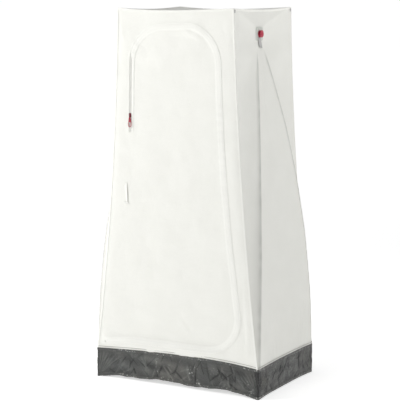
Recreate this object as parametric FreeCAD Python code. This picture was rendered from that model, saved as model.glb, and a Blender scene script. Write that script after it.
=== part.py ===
import FreeCAD, Part
import math
import os

from FreeCAD import Vector

# A tapered fabric cabin for showering or changing. Two hubs, one high on each side, hold the
# frame together: from each hub two bowed legs run down to the bottom corners and two straight
# arms run up to the roof corners, and a ridge bar joins the hubs. The fabric shell is pulled
# over this frame and buttoned to both hubs.
# Millimetres. +X is the tent's right side, -Y its front, +Z up, origin on the ground, centred.

# ---- Driving dimensions: shell -------------------------------------------------------------
BASE_WIDTH = 990.0
TOP_WIDTH = 690.0
DEPTH = 660.0
HEIGHT = 2000.0
TUB_HEIGHT = 150.0
FABRIC = 2.0                 # thickness that stands in for a layer of cloth
FLOOR_SHEET = 1.5
SEAM_GAP = 0.3               # left between pieces that are sewn together
SEAM_CONCAVITY = 24.0        # how far the corner seams pull in halfway up
TUB_FLARE = 3.0              # the tub stands this far outside the cabin's seams

# ---- Driving dimensions: frame -------------------------------------------------------------
HUB_HEIGHT = 1865.0
HUB_X = 301.0                # centre of the hub's thickness
HUB_RADIUS = 34.0
HUB_THICKNESS = 22.0
POLE_R = 4.75
POLE_BORE_R = 2.4
CORD_R = 1.2
LEG_FOOT = Vector(480.0, 316.0, 10.0)
LEG_TOP = Vector(HUB_X, 12.0, HUB_HEIGHT - 15.0)
LEG_BOW = Vector(57.5, 75.0, 0.0)        # how far the bent leg stands off its chord
LEG_SECTIONS = 3
ARM_START = Vector(HUB_X, 16.0, HUB_HEIGHT + 12.0)
ARM_TIP = Vector(330.0, 316.0, 1985.0)
SOCKET_R = 9.5
SOCKET_BORE_R = POLE_R + 0.5
SOCKET_STOP = 20.0           # distance from the socket's start to the bottom of its bore
LEG_SOCKET = 60.0
ARM_SOCKET = 50.0
END_GAP = 2.0                # a pole stops this far short of the bottom of its socket
FERRULE_R = 5.8
FERRULE_LENGTH = 60.0
FERRULE_CLEARANCE = 0.15
BAR_R = 8.0
BAR_WALL = 1.2
BAR_SOCKET_R = 13.0
BAR_SOCKET_LENGTH = 44.0
HUB_WEB = 4.0                # solid wall between the bar socket and the button's cavity
HUB_BOSS_R = 12.0
HUB_ROUNDING = 3.0
OVERLAP = 2.0                # by which shapes that are joined run into each other

# ---- Driving dimensions: button, patch and eyelet ------------------------------------------
PAD_X = 320.0                # the fabric's outer face where it lies flat over the hub
PAD_HALF_HEIGHT = 38.0
PAD_HALF_WIDTH = 44.0
PATCH_HALF_WIDTH = 40.0
PATCH_HALF_HEIGHT = 36.0
PATCH_THICKNESS = 1.3
PATCH_ROUNDING = 6.0
EYELET_R = 8.0
EYELET_WALL = 1.2
EYELET_RIM_R = 13.5
SHANK_R = 6.0
SHANK_CLEARANCE = 0.05
BUTTON_R = 19.0
BUTTON_NECK_R = 11.0
BUTTON_FACE_X = 338.0
LUG_REACH = 8.0              # of the button's cross lug from its axis
TAIL_WIDTH = 30.0
TAIL_TOP = 1849.0
TAIL_BOTTOM = 1790.0
TAIL_SLANT = 9.0
WEBBING = 1.2

# ---- Driving dimensions: door and zip ------------------------------------------------------
HINGE_BOTTOM = (-440.0, 204.0)           # (x, z) of the line that the door folds about
HINGE_TOP = (-262.0, 1352.0)
HINGE_GAP = 1.8                          # on each side of the hinge line
BINDING_HALF_WIDTH = 12.0
ZIP_LEFT_LOW = (-272.0, 1300.0)
ZIP_LEFT_HIGH = (-265.0, 1700.0)
FABRIC_EDGE = 6.0                        # from the zip's centre line to each cut edge of cloth
TAPE_EDGE = 18.0
COIL_INNER = 1.3
COIL_OUTER = 3.3
TAPE_THICKNESS = 0.8
SLIDER_Z = 1440.0
SLIDER_HALF_LENGTH = 11.0
SLIDER_HALF_WIDTH = 6.5
SLIDER_PLATE = 2.2
SLIDER_CLEARANCE = 0.4
BRIDGE_HALF_LENGTH = 8.0
BRIDGE_HEIGHT = 5.4
POST_HALF_WIDTH = 0.8
PULL_LENGTH = 62.0           # from the bridge to the lower end of the grip's ring
GRIP_TOP = 11.8              # where the grip's solid part starts and ends below the bridge
GRIP_SHOULDER = 36.0
GRIP_TOP_WIDTH = 9.0
GRIP_WIDTH = 15.0
GRIP_HALF_DEPTH = 1.9
RING_WIDTH = 18.0
RING_RAIL = 2.4
RING_HALF_DEPTH = 1.2
TIE_X = -296.0
TIE_HALF_WIDTH = 6.0
TIE_TOP = 1080.0
TIE_BOTTOM = 970.0

# ---- Derived places ------------------------------------------------------------------------
FRONT = -DEPTH / 2
BASE_HALF = BASE_WIDTH / 2
TOP_HALF = TOP_WIDTH / 2
HALF_DEPTH = DEPTH / 2
FRONT_INNER = FRONT + FABRIC
HUB_OUTER_X = HUB_X + HUB_THICKNESS / 2
HUB_INNER_X = HUB_X - HUB_THICKNESS / 2
X_AXIS = Vector(1, 0, 0)
Y_AXIS = Vector(0, 1, 0)
Z_AXIS = Vector(0, 0, 1)
ORIGIN = Vector(0, 0, 0)
SIDES = {"right": 1, "left": -1}
ENDS = {"back": 1, "front": -1}


# ---- Small helpers -------------------------------------------------------------------------
def save(name, shape):
    """Writes one node."""
    shape.exportStep(f"parts/{name}.step")


def block(x0, x1, y0, y1, z0, z1):
    """A box between two corners."""
    return Part.makeBox(x1 - x0, y1 - y0, z1 - z0, Vector(x0, y0, z0))


def rod(start, direction, length, radius):
    """A solid cylinder from start along direction."""
    return Part.makeCylinder(radius, length, start, direction)


def tube(start, direction, length, outer_radius, inner_radius):
    """A straight tube."""
    return rod(start, direction, length, outer_radius).cut(
        rod(start, direction, length, inner_radius)
    )


def on_side(shape, side, end=1):
    """A copy of a right-hand, back shape moved to the named side and end by mirroring."""
    placed = shape
    if side < 0:
        placed = placed.mirror(ORIGIN, X_AXIS)
    if end < 0:
        placed = placed.mirror(ORIGIN, Y_AXIS)
    return placed


def at_all_corners(shape):
    """The same piece at the four corners, as separate solids."""
    corners = [on_side(shape, s, e) for s in SIDES.values() for e in ENDS.values()]
    return Part.makeCompound(corners)


def edges_as_long_as(shape, length):
    """The shape's edges of that length, such as the corner edges of a plate."""
    return [e for e in shape.Edges if abs(e.Length - length) < 0.01]


def plate_xz(face, y0, y1):
    """A flat piece in the plane of the front wall, between two depths."""
    moved = face.copy()
    moved.translate(Vector(0, y0, 0))
    return moved.extrude(Vector(0, y1 - y0, 0))


def point_xz(x, z):
    """A point of an outline in the plane of the front wall, before it is moved to its depth."""
    return Vector(x, 0, z)


# ---- Bowed legs ----------------------------------------------------------------------------
def leg_circle():
    """The circle that a bent leg follows, as centre, axis, radius and swept angle."""
    middle = (LEG_FOOT + LEG_TOP) * 0.5 + LEG_BOW
    circle = Part.Arc(LEG_FOOT, middle, LEG_TOP).toShape().Curve
    to_foot, to_top = LEG_FOOT - circle.Center, LEG_TOP - circle.Center
    axis = to_foot.cross(to_top).normalize()
    return circle.Center, axis, circle.Radius, to_foot.getAngle(to_top)


LEG_CENTRE, LEG_AXIS, LEG_RADIUS, LEG_ANGLE = leg_circle()
LEG_LENGTH = LEG_RADIUS * LEG_ANGLE


def leg_point(distance):
    """The point on the right back leg's centre line, that far up from its foot."""
    turn = FreeCAD.Rotation(LEG_AXIS, math.degrees(distance / LEG_RADIUS))
    return LEG_CENTRE + turn.multVec(LEG_FOOT - LEG_CENTRE)


def leg_tangent(distance):
    """The direction of the leg's centre line there, pointing up."""
    return LEG_AXIS.cross(leg_point(distance) - LEG_CENTRE).normalize()


def leg_point_at_height(height):
    """The point on the leg's centre line at a height, by halving."""
    low, high = 0.0, LEG_LENGTH
    while high - low > 0.01:
        middle = (low + high) / 2
        if leg_point(middle).z < height:
            low = middle
        else:
            high = middle
    return leg_point(low)


def leg_tube(start, end, outer_radius, inner_radius=0.0):
    """A stretch of bent tube or rod along the leg, between two distances from the foot."""
    centre, tangent = leg_point(start), leg_tangent(start)
    circles = [Part.makeCircle(outer_radius, centre, tangent)]
    if inner_radius:
        circles.append(Part.makeCircle(inner_radius, centre, tangent))
    ring = Part.makeFace([Part.Wire(c) for c in circles], "Part::FaceMakerBullseye")
    return ring.revolve(LEG_CENTRE, LEG_AXIS, math.degrees((end - start) / LEG_RADIUS))


LEG_END = LEG_LENGTH - SOCKET_STOP - END_GAP
SECTION_LENGTH = LEG_END / LEG_SECTIONS


def leg_section(index):
    """One tube section of a leg, counted from the foot."""
    start = index * SECTION_LENGTH + (SEAM_GAP if index else 0.0)
    return leg_tube(start, (index + 1) * SECTION_LENGTH, POLE_R, POLE_BORE_R)


def leg_ferrules():
    """The steel sleeves that join one leg's sections."""
    sleeves = []
    for joint in range(1, LEG_SECTIONS):
        start = joint * SECTION_LENGTH - FERRULE_LENGTH / 2
        sleeves.append(
            leg_tube(start, start + FERRULE_LENGTH, FERRULE_R, POLE_R + FERRULE_CLEARANCE)
        )
    return Part.makeCompound(sleeves)


def leg_shock_cord():
    """The elastic cord inside one leg."""
    inset = 15.0
    return leg_tube(inset, LEG_END - inset, CORD_R)


def leg_ties():
    """The webbing loops that hold the shell's ridge seam to one leg."""
    loop_width, loop_inner, loop_outer = 14.0, 5.6, 6.6
    loops = []
    for index in range(LEG_SECTIONS):
        start = (index + 0.5) * SECTION_LENGTH
        loops.append(leg_tube(start, start + loop_width, loop_outer, loop_inner))
    return Part.makeCompound(loops)


def foot_cap():
    """The rounded rubber cap under a leg, standing on the floor sheet."""
    radius, height, rounding, bore = 9.0, 28.0, 2.0, POLE_R + 0.8
    foot = Vector(LEG_FOOT.x, LEG_FOOT.y, FLOOR_SHEET + SEAM_GAP)
    cap = rod(foot, Z_AXIS, height, radius)
    cap = cap.makeFillet(rounding, [e for e in cap.Edges if e.Length > radius])
    bore_base = Vector(LEG_FOOT.x, LEG_FOOT.y, LEG_FOOT.z - SEAM_GAP)
    return cap.cut(rod(bore_base, Z_AXIS, height, bore))


def floor_corner_pocket():
    """The webbing cup in a floor corner that keeps the foot cap in place."""
    inner, outer, height = 9.6, 11.0, 40.0
    base = Vector(LEG_FOOT.x, LEG_FOOT.y, FLOOR_SHEET + SEAM_GAP)
    return tube(base, Z_AXIS, height, outer, inner)


# ---- Hubs, arms and ridge bar --------------------------------------------------------------
LEG_SOCKET_DIRECTION = leg_tangent(LEG_LENGTH) * -1
ARM_DIRECTION = (ARM_TIP - ARM_START).normalize()
CAVITY_INNER_X = HUB_INNER_X + 2 * HUB_WEB
CAVITY_OUTER_X = CAVITY_INNER_X + 6.0
LUG_CAVITY_R = LUG_REACH + 1.2
BOSS_FACE_X = PAD_X - FABRIC - 0.6


def at_hub(x):
    """A point on the hub's axis."""
    return Vector(x, 0, HUB_HEIGHT)


def hub():
    """The moulded hub of the right side: a disc with four pole sockets and a bar socket."""
    body = rod(at_hub(HUB_INNER_X), X_AXIS, HUB_THICKNESS, HUB_RADIUS)
    body = body.makeFillet(HUB_ROUNDING, [e for e in body.Edges if e.Length > HUB_RADIUS])
    boss_start = HUB_OUTER_X - OVERLAP
    body = body.fuse(rod(at_hub(boss_start), X_AXIS, BOSS_FACE_X - boss_start, HUB_BOSS_R))
    bar_end = at_hub(HUB_INNER_X - BAR_SOCKET_LENGTH)
    body = body.fuse(rod(bar_end, X_AXIS, BAR_SOCKET_LENGTH + OVERLAP, BAR_SOCKET_R))
    bar_bore_r = BAR_R + 2 * SHANK_CLEARANCE
    bores = [rod(bar_end, X_AXIS, BAR_SOCKET_LENGTH + HUB_WEB, bar_bore_r)]
    sockets = [
        (LEG_TOP, LEG_SOCKET_DIRECTION, LEG_SOCKET),
        (ARM_START, ARM_DIRECTION, ARM_SOCKET),
    ]
    for end in ENDS.values():
        for start, direction, length in sockets:
            bore_start = start + direction * SOCKET_STOP
            body = body.fuse(on_side(rod(start, direction, length, SOCKET_R), 1, end))
            bores.append(on_side(rod(bore_start, direction, length, SOCKET_BORE_R), 1, end))
    bores.append(rod(at_hub(CAVITY_INNER_X), X_AXIS, HUB_THICKNESS, SHANK_R + SHANK_CLEARANCE))
    cavity_length = CAVITY_OUTER_X - CAVITY_INNER_X
    bores.append(rod(at_hub(CAVITY_INNER_X), X_AXIS, cavity_length, LUG_CAVITY_R))
    for bore in bores:
        body = body.cut(bore)
    return body.removeSplitter()


def roof_arm():
    """The straight tube from a hub to a roof corner."""
    start = ARM_START + ARM_DIRECTION * (SOCKET_STOP + END_GAP)
    length = (ARM_TIP - start).Length
    return tube(start, ARM_DIRECTION, length, POLE_R, POLE_BORE_R)


def arm_tip_cap():
    """The ball-ended cap on an arm's outer end."""
    radius, length = 7.0, 18.0
    start = ARM_TIP - ARM_DIRECTION * length
    cap = rod(start, ARM_DIRECTION, length, radius).fuse(Part.makeSphere(radius, ARM_TIP))
    bore = rod(start, ARM_DIRECTION, length + SEAM_GAP, POLE_R + SHANK_CLEARANCE)
    return cap.cut(bore)


def roof_corner_pocket():
    """The cloth sleeve under a roof corner that the arm's cap sits in."""
    length, short_of_tip, outer, inner = 26.0, 4.0, 8.8, 7.6
    start = ARM_TIP - ARM_DIRECTION * (length + short_of_tip)
    return tube(start, ARM_DIRECTION, length, outer, inner)


def corner_loop():
    """A small webbing loop on the outside of the side wall's top corner."""
    inner_x, thickness, width, height, inset = TOP_HALF + 1.2, 1.4, 12.0, 18.0, 2.0
    return block(inner_x, inner_x + thickness, HALF_DEPTH - inset - width, HALF_DEPTH - inset,
                 HEIGHT - inset - height, HEIGHT - inset)


def ridge_bar_half():
    """The right half of the bar between the hubs."""
    end = HUB_INNER_X + HUB_WEB - END_GAP
    return tube(at_hub(SEAM_GAP), X_AXIS, end - SEAM_GAP, BAR_R, BAR_R - BAR_WALL)


def ridge_ferrule():
    """The inner sleeve that joins the two halves of the ridge bar."""
    half, wall, outer = 50.0, 1.0, BAR_R - BAR_WALL - SHANK_CLEARANCE
    return tube(at_hub(-half), X_AXIS, 2 * half, outer, outer - wall)


# ---- Button, patch, eyelet and tail --------------------------------------------------------
PATCH_INNER_X = PAD_X + 0.2
PATCH_OUTER_X = PATCH_INNER_X + PATCH_THICKNESS
EYELET_RIM_X = PATCH_OUTER_X + 1.1
BUTTON_INNER_X = EYELET_RIM_X + 0.6


def locking_button():
    """The red turn button: two flanges on a neck, a shank and a cross lug inside the hub."""
    flange, outer_flange, rounding, outer_rounding = 3.8, 4.8, 1.2, 1.8
    lug_x, lug_thickness, lug_half_height = CAVITY_INNER_X + 1.0, 3.0, 2.5
    shank = rod(at_hub(lug_x), X_AXIS, BUTTON_INNER_X + OVERLAP / 2 - lug_x, SHANK_R)
    lug = block(lug_x, lug_x + lug_thickness, -LUG_REACH, LUG_REACH,
                HUB_HEIGHT - lug_half_height, HUB_HEIGHT + lug_half_height)
    inner = rod(at_hub(BUTTON_INNER_X), X_AXIS, flange, BUTTON_R)
    neck_length = BUTTON_FACE_X - BUTTON_INNER_X - OVERLAP / 2
    neck = rod(at_hub(BUTTON_INNER_X), X_AXIS, neck_length, BUTTON_NECK_R)
    outer = rod(at_hub(BUTTON_FACE_X - outer_flange), X_AXIS, outer_flange, BUTTON_R)
    inner = inner.makeFillet(rounding, [e for e in inner.Edges if e.Length > BUTTON_R])
    outer = outer.makeFillet(outer_rounding, [e for e in outer.Edges if e.Length > BUTTON_R])
    dish_radius, dish_depth = 40.0, 2.4
    dish = Part.makeSphere(dish_radius, at_hub(BUTTON_FACE_X - dish_depth + dish_radius))
    rib_half_length, rib_half_width, rib_set_back = 11.0, 2.0, 0.6
    rib = block(BUTTON_FACE_X - dish_depth - OVERLAP / 2, BUTTON_FACE_X - rib_set_back,
                -rib_half_width, rib_half_width,
                HUB_HEIGHT - rib_half_length, HUB_HEIGHT + rib_half_length)
    return shank.fuse([lug, inner, neck, outer]).cut(dish).fuse(rib).removeSplitter()


def reinforcement_patch():
    """The square patch sewn on the wall round the eyelet."""
    patch = block(PATCH_INNER_X, PATCH_OUTER_X, -PATCH_HALF_WIDTH, PATCH_HALF_WIDTH,
                  HUB_HEIGHT - PATCH_HALF_HEIGHT, HUB_HEIGHT + PATCH_HALF_HEIGHT)
    corners = edges_as_long_as(patch, PATCH_THICKNESS)
    return patch.makeFillet(PATCH_ROUNDING, corners).cut(eyelet_hole())


def eyelet_hole():
    """The hole punched through wall and patch for the eyelet's barrel."""
    hole_r = EYELET_R + EYELET_WALL + 0.2
    return rod(at_hub(PAD_X - 3 * FABRIC), X_AXIS, 6 * FABRIC, hole_r)


def eyelet():
    """The pressed metal ring through wall and patch."""
    barrel_start = PAD_X - FABRIC - 0.4
    barrel_r, rim_start = EYELET_R + EYELET_WALL, PATCH_OUTER_X + 0.2
    barrel = rod(at_hub(barrel_start), X_AXIS, EYELET_RIM_X - barrel_start, barrel_r)
    rim = rod(at_hub(rim_start), X_AXIS, EYELET_RIM_X - rim_start, EYELET_RIM_R)
    bore = rod(at_hub(barrel_start - OVERLAP / 2), X_AXIS, 4 * FABRIC, EYELET_R)
    return barrel.fuse(rim).cut(bore)


def webbing_tail():
    """The free end of webbing that hangs under the button, cut at a slant."""
    fold_z, inner_x, run_out = HUB_HEIGHT - PAD_HALF_HEIGHT, PATCH_OUTER_X + 0.2, 11.5
    profile = [
        (inner_x, TAIL_TOP),
        (inner_x, fold_z),
        (inner_x + run_out, TAIL_BOTTOM),
        (inner_x + run_out + WEBBING, TAIL_BOTTOM),
        (inner_x + WEBBING, fold_z),
        (inner_x + WEBBING, TAIL_TOP),
    ]
    corners = [Vector(x, -TAIL_WIDTH / 2, z) for x, z in profile]
    strap = Part.Face(Part.makePolygon(corners + corners[:1])).extrude(Y_AXIS * TAIL_WIDTH)
    low, high, reach = HUB_X, PAD_X + 4 * run_out, TAIL_WIDTH / 2 + 1
    wedge = [
        Vector(low, -reach, TAIL_BOTTOM - 1),
        Vector(low, reach, TAIL_BOTTOM - 1),
        Vector(low, -reach, TAIL_BOTTOM + TAIL_SLANT),
    ]
    slanted_end = Part.Face(Part.makePolygon(wedge + wedge[:1])).extrude(X_AXIS * (high - low))
    eyelet_room = rod(at_hub(PAD_X), X_AXIS, 4 * FABRIC, EYELET_RIM_R + 0.5)
    return strap.cut(slanted_end).cut(eyelet_room)


# ---- Shell ---------------------------------------------------------------------------------
RIDGE_OFFSET = Vector(12.0, 3.5, 0.0)    # from a leg's centre line to the cloth's outer ridge
CABIN_BOTTOM = TUB_HEIGHT + 0.2
SHOULDER = 1650.0                        # where the side wall's lower and upper panels meet
RIDGE_TOP = HUB_HEIGHT - 71.0            # where the ridges over the legs run out
ROOF_KNEE = (TOP_HALF - 1.0, HALF_DEPTH - 12.0)   # the ridges' ends beside the roof corners


def seam_x(height):
    """Half the cabin's width at a height, along its concave corner seams."""
    share = (height - TUB_HEIGHT) / (HEIGHT - TUB_HEIGHT)
    straight = (BASE_HALF - TUB_FLARE) * (1 - share) + TOP_HALF * share
    return straight - 4 * SEAM_CONCAVITY * share * (1 - share)


def side_section(height, knee_x, knee_y):
    """The side wall's cut at a height: seam, ridge, ridge, seam, and back along its inside."""
    outer = [
        (seam_x(height), -HALF_DEPTH),
        (knee_x, -knee_y),
        (knee_x, knee_y),
        (seam_x(height), HALF_DEPTH),
    ]
    inner = [(x - FABRIC, y) for x, y in reversed(outer)]
    corners = [Vector(x, y, height) for x, y in outer + inner]
    return Part.makePolygon(corners + corners[:1])


def ridge_section(height):
    """The side wall's cut below the hub, where its ridges lie over the legs."""
    ridge = leg_point_at_height(height) + RIDGE_OFFSET
    return side_section(height, ridge.x, ridge.y)


def evenly(first, last, steps):
    """Numbers from first to last, evenly spaced."""
    return [first + (last - first) * step / steps for step in range(steps + 1)]


def side_wall():
    """The right wall: bowed out over the legs, drawn in at the hub, out again to the roof."""
    lower = [ridge_section(z) for z in evenly(CABIN_BOTTOM, SHOULDER, 8)]
    upper = [ridge_section(z) for z in evenly(SHOULDER + SEAM_GAP, RIDGE_TOP, 2)]
    for height in (HUB_HEIGHT - PAD_HALF_HEIGHT, HUB_HEIGHT + PAD_HALF_HEIGHT):
        upper.append(side_section(height, PAD_X, PAD_HALF_WIDTH))
    upper.append(side_section(HEIGHT, *ROOF_KNEE))
    shoulder_panel = Part.makeLoft(upper, True, True).cut(eyelet_hole())
    return Part.makeCompound([Part.makeLoft(lower, True, True), shoulder_panel])


def end_face():
    """The outline of the front and back walls, inside the side walls' edges."""
    inset = FABRIC + SEAM_GAP
    heights = (CABIN_BOTTOM, (CABIN_BOTTOM + HEIGHT) / 2, HEIGHT)
    right = [point_xz(seam_x(z) - inset, z) for z in heights]
    left = [point_xz(inset - seam_x(z), z) for z in reversed(heights)]
    edges = [
        Part.Arc(*right).toShape(),
        Part.LineSegment(right[-1], left[0]).toShape(),
        Part.Arc(*left).toShape(),
        Part.LineSegment(left[-1], right[0]).toShape(),
    ]
    return Part.Face(Part.Wire(edges))


def back_wall():
    """The plain wall opposite the door."""
    return plate_xz(end_face(), HALF_DEPTH - FABRIC, HALF_DEPTH)


def roof_panel():
    """The flat roof between the four walls' top edges."""
    inset = FABRIC + 2.0
    return block(inset - TOP_HALF, TOP_HALF - inset, inset - HALF_DEPTH, HALF_DEPTH - inset,
                 HEIGHT - FABRIC, HEIGHT)


def floor_sheet():
    """The sewn-in groundsheet."""
    inset = FABRIC + 1.0
    return block(inset - BASE_HALF, BASE_HALF - inset, inset - HALF_DEPTH, HALF_DEPTH - inset,
                 0, FLOOR_SHEET)


def tub_side():
    """The tub's right wall."""
    return block(BASE_HALF - FABRIC, BASE_HALF, -HALF_DEPTH, HALF_DEPTH, 0, TUB_HEIGHT)


def tub_end():
    """The tub's back wall, between its side walls."""
    inset = FABRIC + SEAM_GAP
    return block(inset - BASE_HALF, BASE_HALF - inset, HALF_DEPTH - FABRIC, HALF_DEPTH,
                 0, TUB_HEIGHT)


# ---- Doorway and zip -----------------------------------------------------------------------
def door_region():
    """The face inside the zip's centre line, carried on past the hinge line on the left."""
    past_hinge, zip_drop = 35.0, 4.0
    far_left = HINGE_BOTTOM[0] - past_hinge
    left_low, left_high = point_xz(*ZIP_LEFT_LOW), point_xz(*ZIP_LEFT_HIGH)
    top_left, top_right = point_xz(-75, 1905), point_xz(95, 1912)
    right_high, right_low = point_xz(258, 1700), point_xz(374, 430)
    bottom_right, bottom_left = point_xz(190, 229), point_xz(-262, 229)
    corner, far_low = point_xz(*HINGE_BOTTOM), point_xz(far_left, HINGE_BOTTOM[1] - zip_drop)
    far_high = point_xz(far_left, ZIP_LEFT_LOW[1])
    edges = [
        Part.LineSegment(left_low, left_high),
        Part.Arc(left_high, point_xz(-209, 1845), top_left),
        Part.LineSegment(top_left, top_right),
        Part.Arc(top_right, point_xz(206, 1846), right_high),
        Part.Arc(right_high, point_xz(283, 1217), right_low),
        Part.Arc(right_low, point_xz(325, 283), bottom_right),
        Part.LineSegment(bottom_right, bottom_left),
        Part.LineSegment(bottom_left, corner),
        Part.LineSegment(corner, far_low),
        Part.LineSegment(far_low, far_high),
        Part.LineSegment(far_high, left_low),
    ]
    return Part.Face(Part.Wire([e.toShape() for e in edges]))


def beyond_hinge(shift):
    """A face over everything left of the hinge line, which is first moved right by shift."""
    bottom_z, left_x = 100.0, -700.0
    slope = (HINGE_TOP[0] - HINGE_BOTTOM[0]) / (HINGE_TOP[1] - HINGE_BOTTOM[1])
    low_x = HINGE_BOTTOM[0] - slope * (HINGE_BOTTOM[1] - bottom_z)
    corners = [
        point_xz(left_x, bottom_z),
        point_xz(low_x + shift, bottom_z),
        point_xz(HINGE_TOP[0] + shift, HINGE_TOP[1]),
        point_xz(left_x, HINGE_TOP[1]),
    ]
    return Part.Face(Part.makePolygon(corners + corners[:1]))


def grown(offset):
    """The door region made larger with sharp corners, or smaller where offset is negative."""
    rounded, sharp = 0, 2
    return door_region().makeOffset2D(offset, sharp if offset > 0 else rounded)


def parking_place():
    """The face where the slider rests, kept free of the door's cloth, tape and coil."""
    margin, width = 6.0, 40.0
    low, high = HINGE_TOP[1] - 2 * margin, SLIDER_Z + SLIDER_HALF_LENGTH + margin
    corners = [
        point_xz(HINGE_TOP[0] - width, low),
        point_xz(HINGE_TOP[0], low),
        point_xz(HINGE_TOP[0], high),
        point_xz(HINGE_TOP[0] - width, high),
    ]
    return Part.Face(Part.makePolygon(corners + corners[:1]))


def front_wall():
    """The front wall with its doorway."""
    doorway = grown(FABRIC_EDGE).cut(beyond_hinge(-HINGE_GAP))
    return plate_xz(end_face().cut(doorway), FRONT, FRONT_INNER)


def door_panel():
    """The door's cloth."""
    face = grown(-FABRIC_EDGE).cut(beyond_hinge(HINGE_GAP)).cut(parking_place())
    return plate_xz(face, FRONT, FRONT_INNER)


def zip_band(inner, outer, y0, y1):
    """A band along the zip on the doorway's side, between two distances from its centre line."""
    face = grown(outer).cut(grown(inner)).cut(beyond_hinge(-HINGE_GAP))
    return plate_xz(face, y0, y1)


def door_zip_band(inner, outer, y0, y1):
    """The same on the door's side, clear of the hinge binding and of the parked slider."""
    clear_of_binding = BINDING_HALF_WIDTH + 7.0
    face = grown(-inner).cut(grown(-outer)).cut(beyond_hinge(clear_of_binding))
    return plate_xz(face.cut(parking_place()), y0, y1)


TAPE_Y = (FRONT_INNER + 0.2, FRONT_INNER + 0.2 + TAPE_THICKNESS)
COIL_Y = (FRONT + 0.2, FRONT_INNER + 0.1)


def hinge_binding():
    """The tape sewn behind the line that the door folds about."""
    start, end = point_xz(*HINGE_BOTTOM), point_xz(*HINGE_TOP)
    along = (end - start).normalize()
    across, short_below, short_above = along.cross(Y_AXIS) * BINDING_HALF_WIDTH, 10.0, 16.0
    first, last = start + along * short_below, end - along * short_above
    corners = [first - across, first + across, last + across, last - across]
    return plate_xz(Part.Face(Part.makePolygon(corners + corners[:1])), *TAPE_Y)


# ---- Slider and pulls ----------------------------------------------------------------------
SLIDE_SLOPE = (ZIP_LEFT_HIGH[0] - ZIP_LEFT_LOW[0]) / (ZIP_LEFT_HIGH[1] - ZIP_LEFT_LOW[1])
SLIDER_X = ZIP_LEFT_LOW[0] + SLIDE_SLOPE * (SLIDER_Z - ZIP_LEFT_LOW[1])
CHANNEL_FRONT = FRONT - SLIDER_CLEARANCE
CHANNEL_BACK = TAPE_Y[1] + 0.6
ZIP_MIDDLE_Y = (CHANNEL_FRONT + CHANNEL_BACK) / 2
PIVOT_Y = CHANNEL_FRONT - SLIDER_PLATE - 2.4


def at_slider(x0, x1, y0, y1, z0, z1):
    """A box given from the slider's centre in x and z."""
    return block(SLIDER_X + x0, SLIDER_X + x1, y0, y1, SLIDER_Z + z0, SLIDER_Z + z1)


def slider_outer_half():
    """The slider's front plate with its side lips and the bridge that holds the pull."""
    plate_front, plate_rounding = CHANNEL_FRONT - SLIDER_PLATE, 4.5
    plate = at_slider(-SLIDER_HALF_WIDTH, SLIDER_HALF_WIDTH, plate_front, CHANNEL_FRONT,
                      -SLIDER_HALF_LENGTH, SLIDER_HALF_LENGTH)
    plate = plate.makeFillet(plate_rounding, edges_as_long_as(plate, SLIDER_PLATE))
    lip_near, lip_far, lip_half = COIL_OUTER + 0.5, FABRIC_EDGE - 0.4, SLIDER_HALF_LENGTH - 5.0
    lip_y = (CHANNEL_FRONT - OVERLAP / 2, TAPE_Y[0] - 0.8)
    lips = [
        at_slider(lip_near, lip_far, *lip_y, -lip_half, lip_half),
        at_slider(-lip_far, -lip_near, *lip_y, -lip_half, lip_half),
    ]
    half_width, wall, end_wall = 1.5, 1.4, 3.0
    bridge_front, window_half = plate_front - BRIDGE_HEIGHT, BRIDGE_HALF_LENGTH - end_wall
    bridge = at_slider(-half_width, half_width, bridge_front, plate_front + OVERLAP / 2,
                       -BRIDGE_HALF_LENGTH, BRIDGE_HALF_LENGTH)
    window = at_slider(-2 * half_width, 2 * half_width, bridge_front + wall, plate_front,
                       -window_half, window_half)
    return plate.fuse(lips).fuse(bridge.cut(window))


def across_zip(shape):
    """The shape's mirror image on the inner side of the zip."""
    return shape.mirror(Vector(0, ZIP_MIDDLE_Y, 0), Y_AXIS)


def zip_slider():
    """The two-sided slider: a plate and a bridge on each side, joined by a post."""
    outer = slider_outer_half()
    post_low, post_high = 1.0 - SLIDER_HALF_LENGTH, 8.0 - SLIDER_HALF_LENGTH
    post = at_slider(-POST_HALF_WIDTH, POST_HALF_WIDTH, CHANNEL_FRONT - OVERLAP / 2,
                     CHANNEL_BACK + OVERLAP / 2, post_low, post_high)
    reach = 2 * SLIDER_HALF_LENGTH
    lip_side = at_slider(-reach, reach, CHANNEL_FRONT, CHANNEL_BACK, -reach, reach)
    return outer.fuse([post, across_zip(outer.cut(lip_side))]).removeSplitter()


def pull_tab():
    """The outer metal tab: a crossbar through the bridge, two arms and a flat tongue."""
    arm_near, arm_far, bar_r, half_depth, tongue_top = 2.4, 4.2, 1.1, 1.0, -10.5
    crossbar = rod(Vector(SLIDER_X - arm_far, PIVOT_Y, SLIDER_Z), X_AXIS, 2 * arm_far, bar_r)
    depths = (PIVOT_Y - half_depth, PIVOT_Y + half_depth)
    arms = [
        at_slider(arm_near, arm_far, *depths, tongue_top - 1.5, 1.0),
        at_slider(-arm_far, -arm_near, *depths, tongue_top - 1.5, 1.0),
    ]
    tongue_end = -(GRIP_TOP + GRIP_SHOULDER) / 2 - 5.0
    tongue = at_slider(-arm_far, arm_far, *depths, tongue_end, tongue_top)
    return crossbar.fuse(arms).fuse(tongue).removeSplitter()


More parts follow.
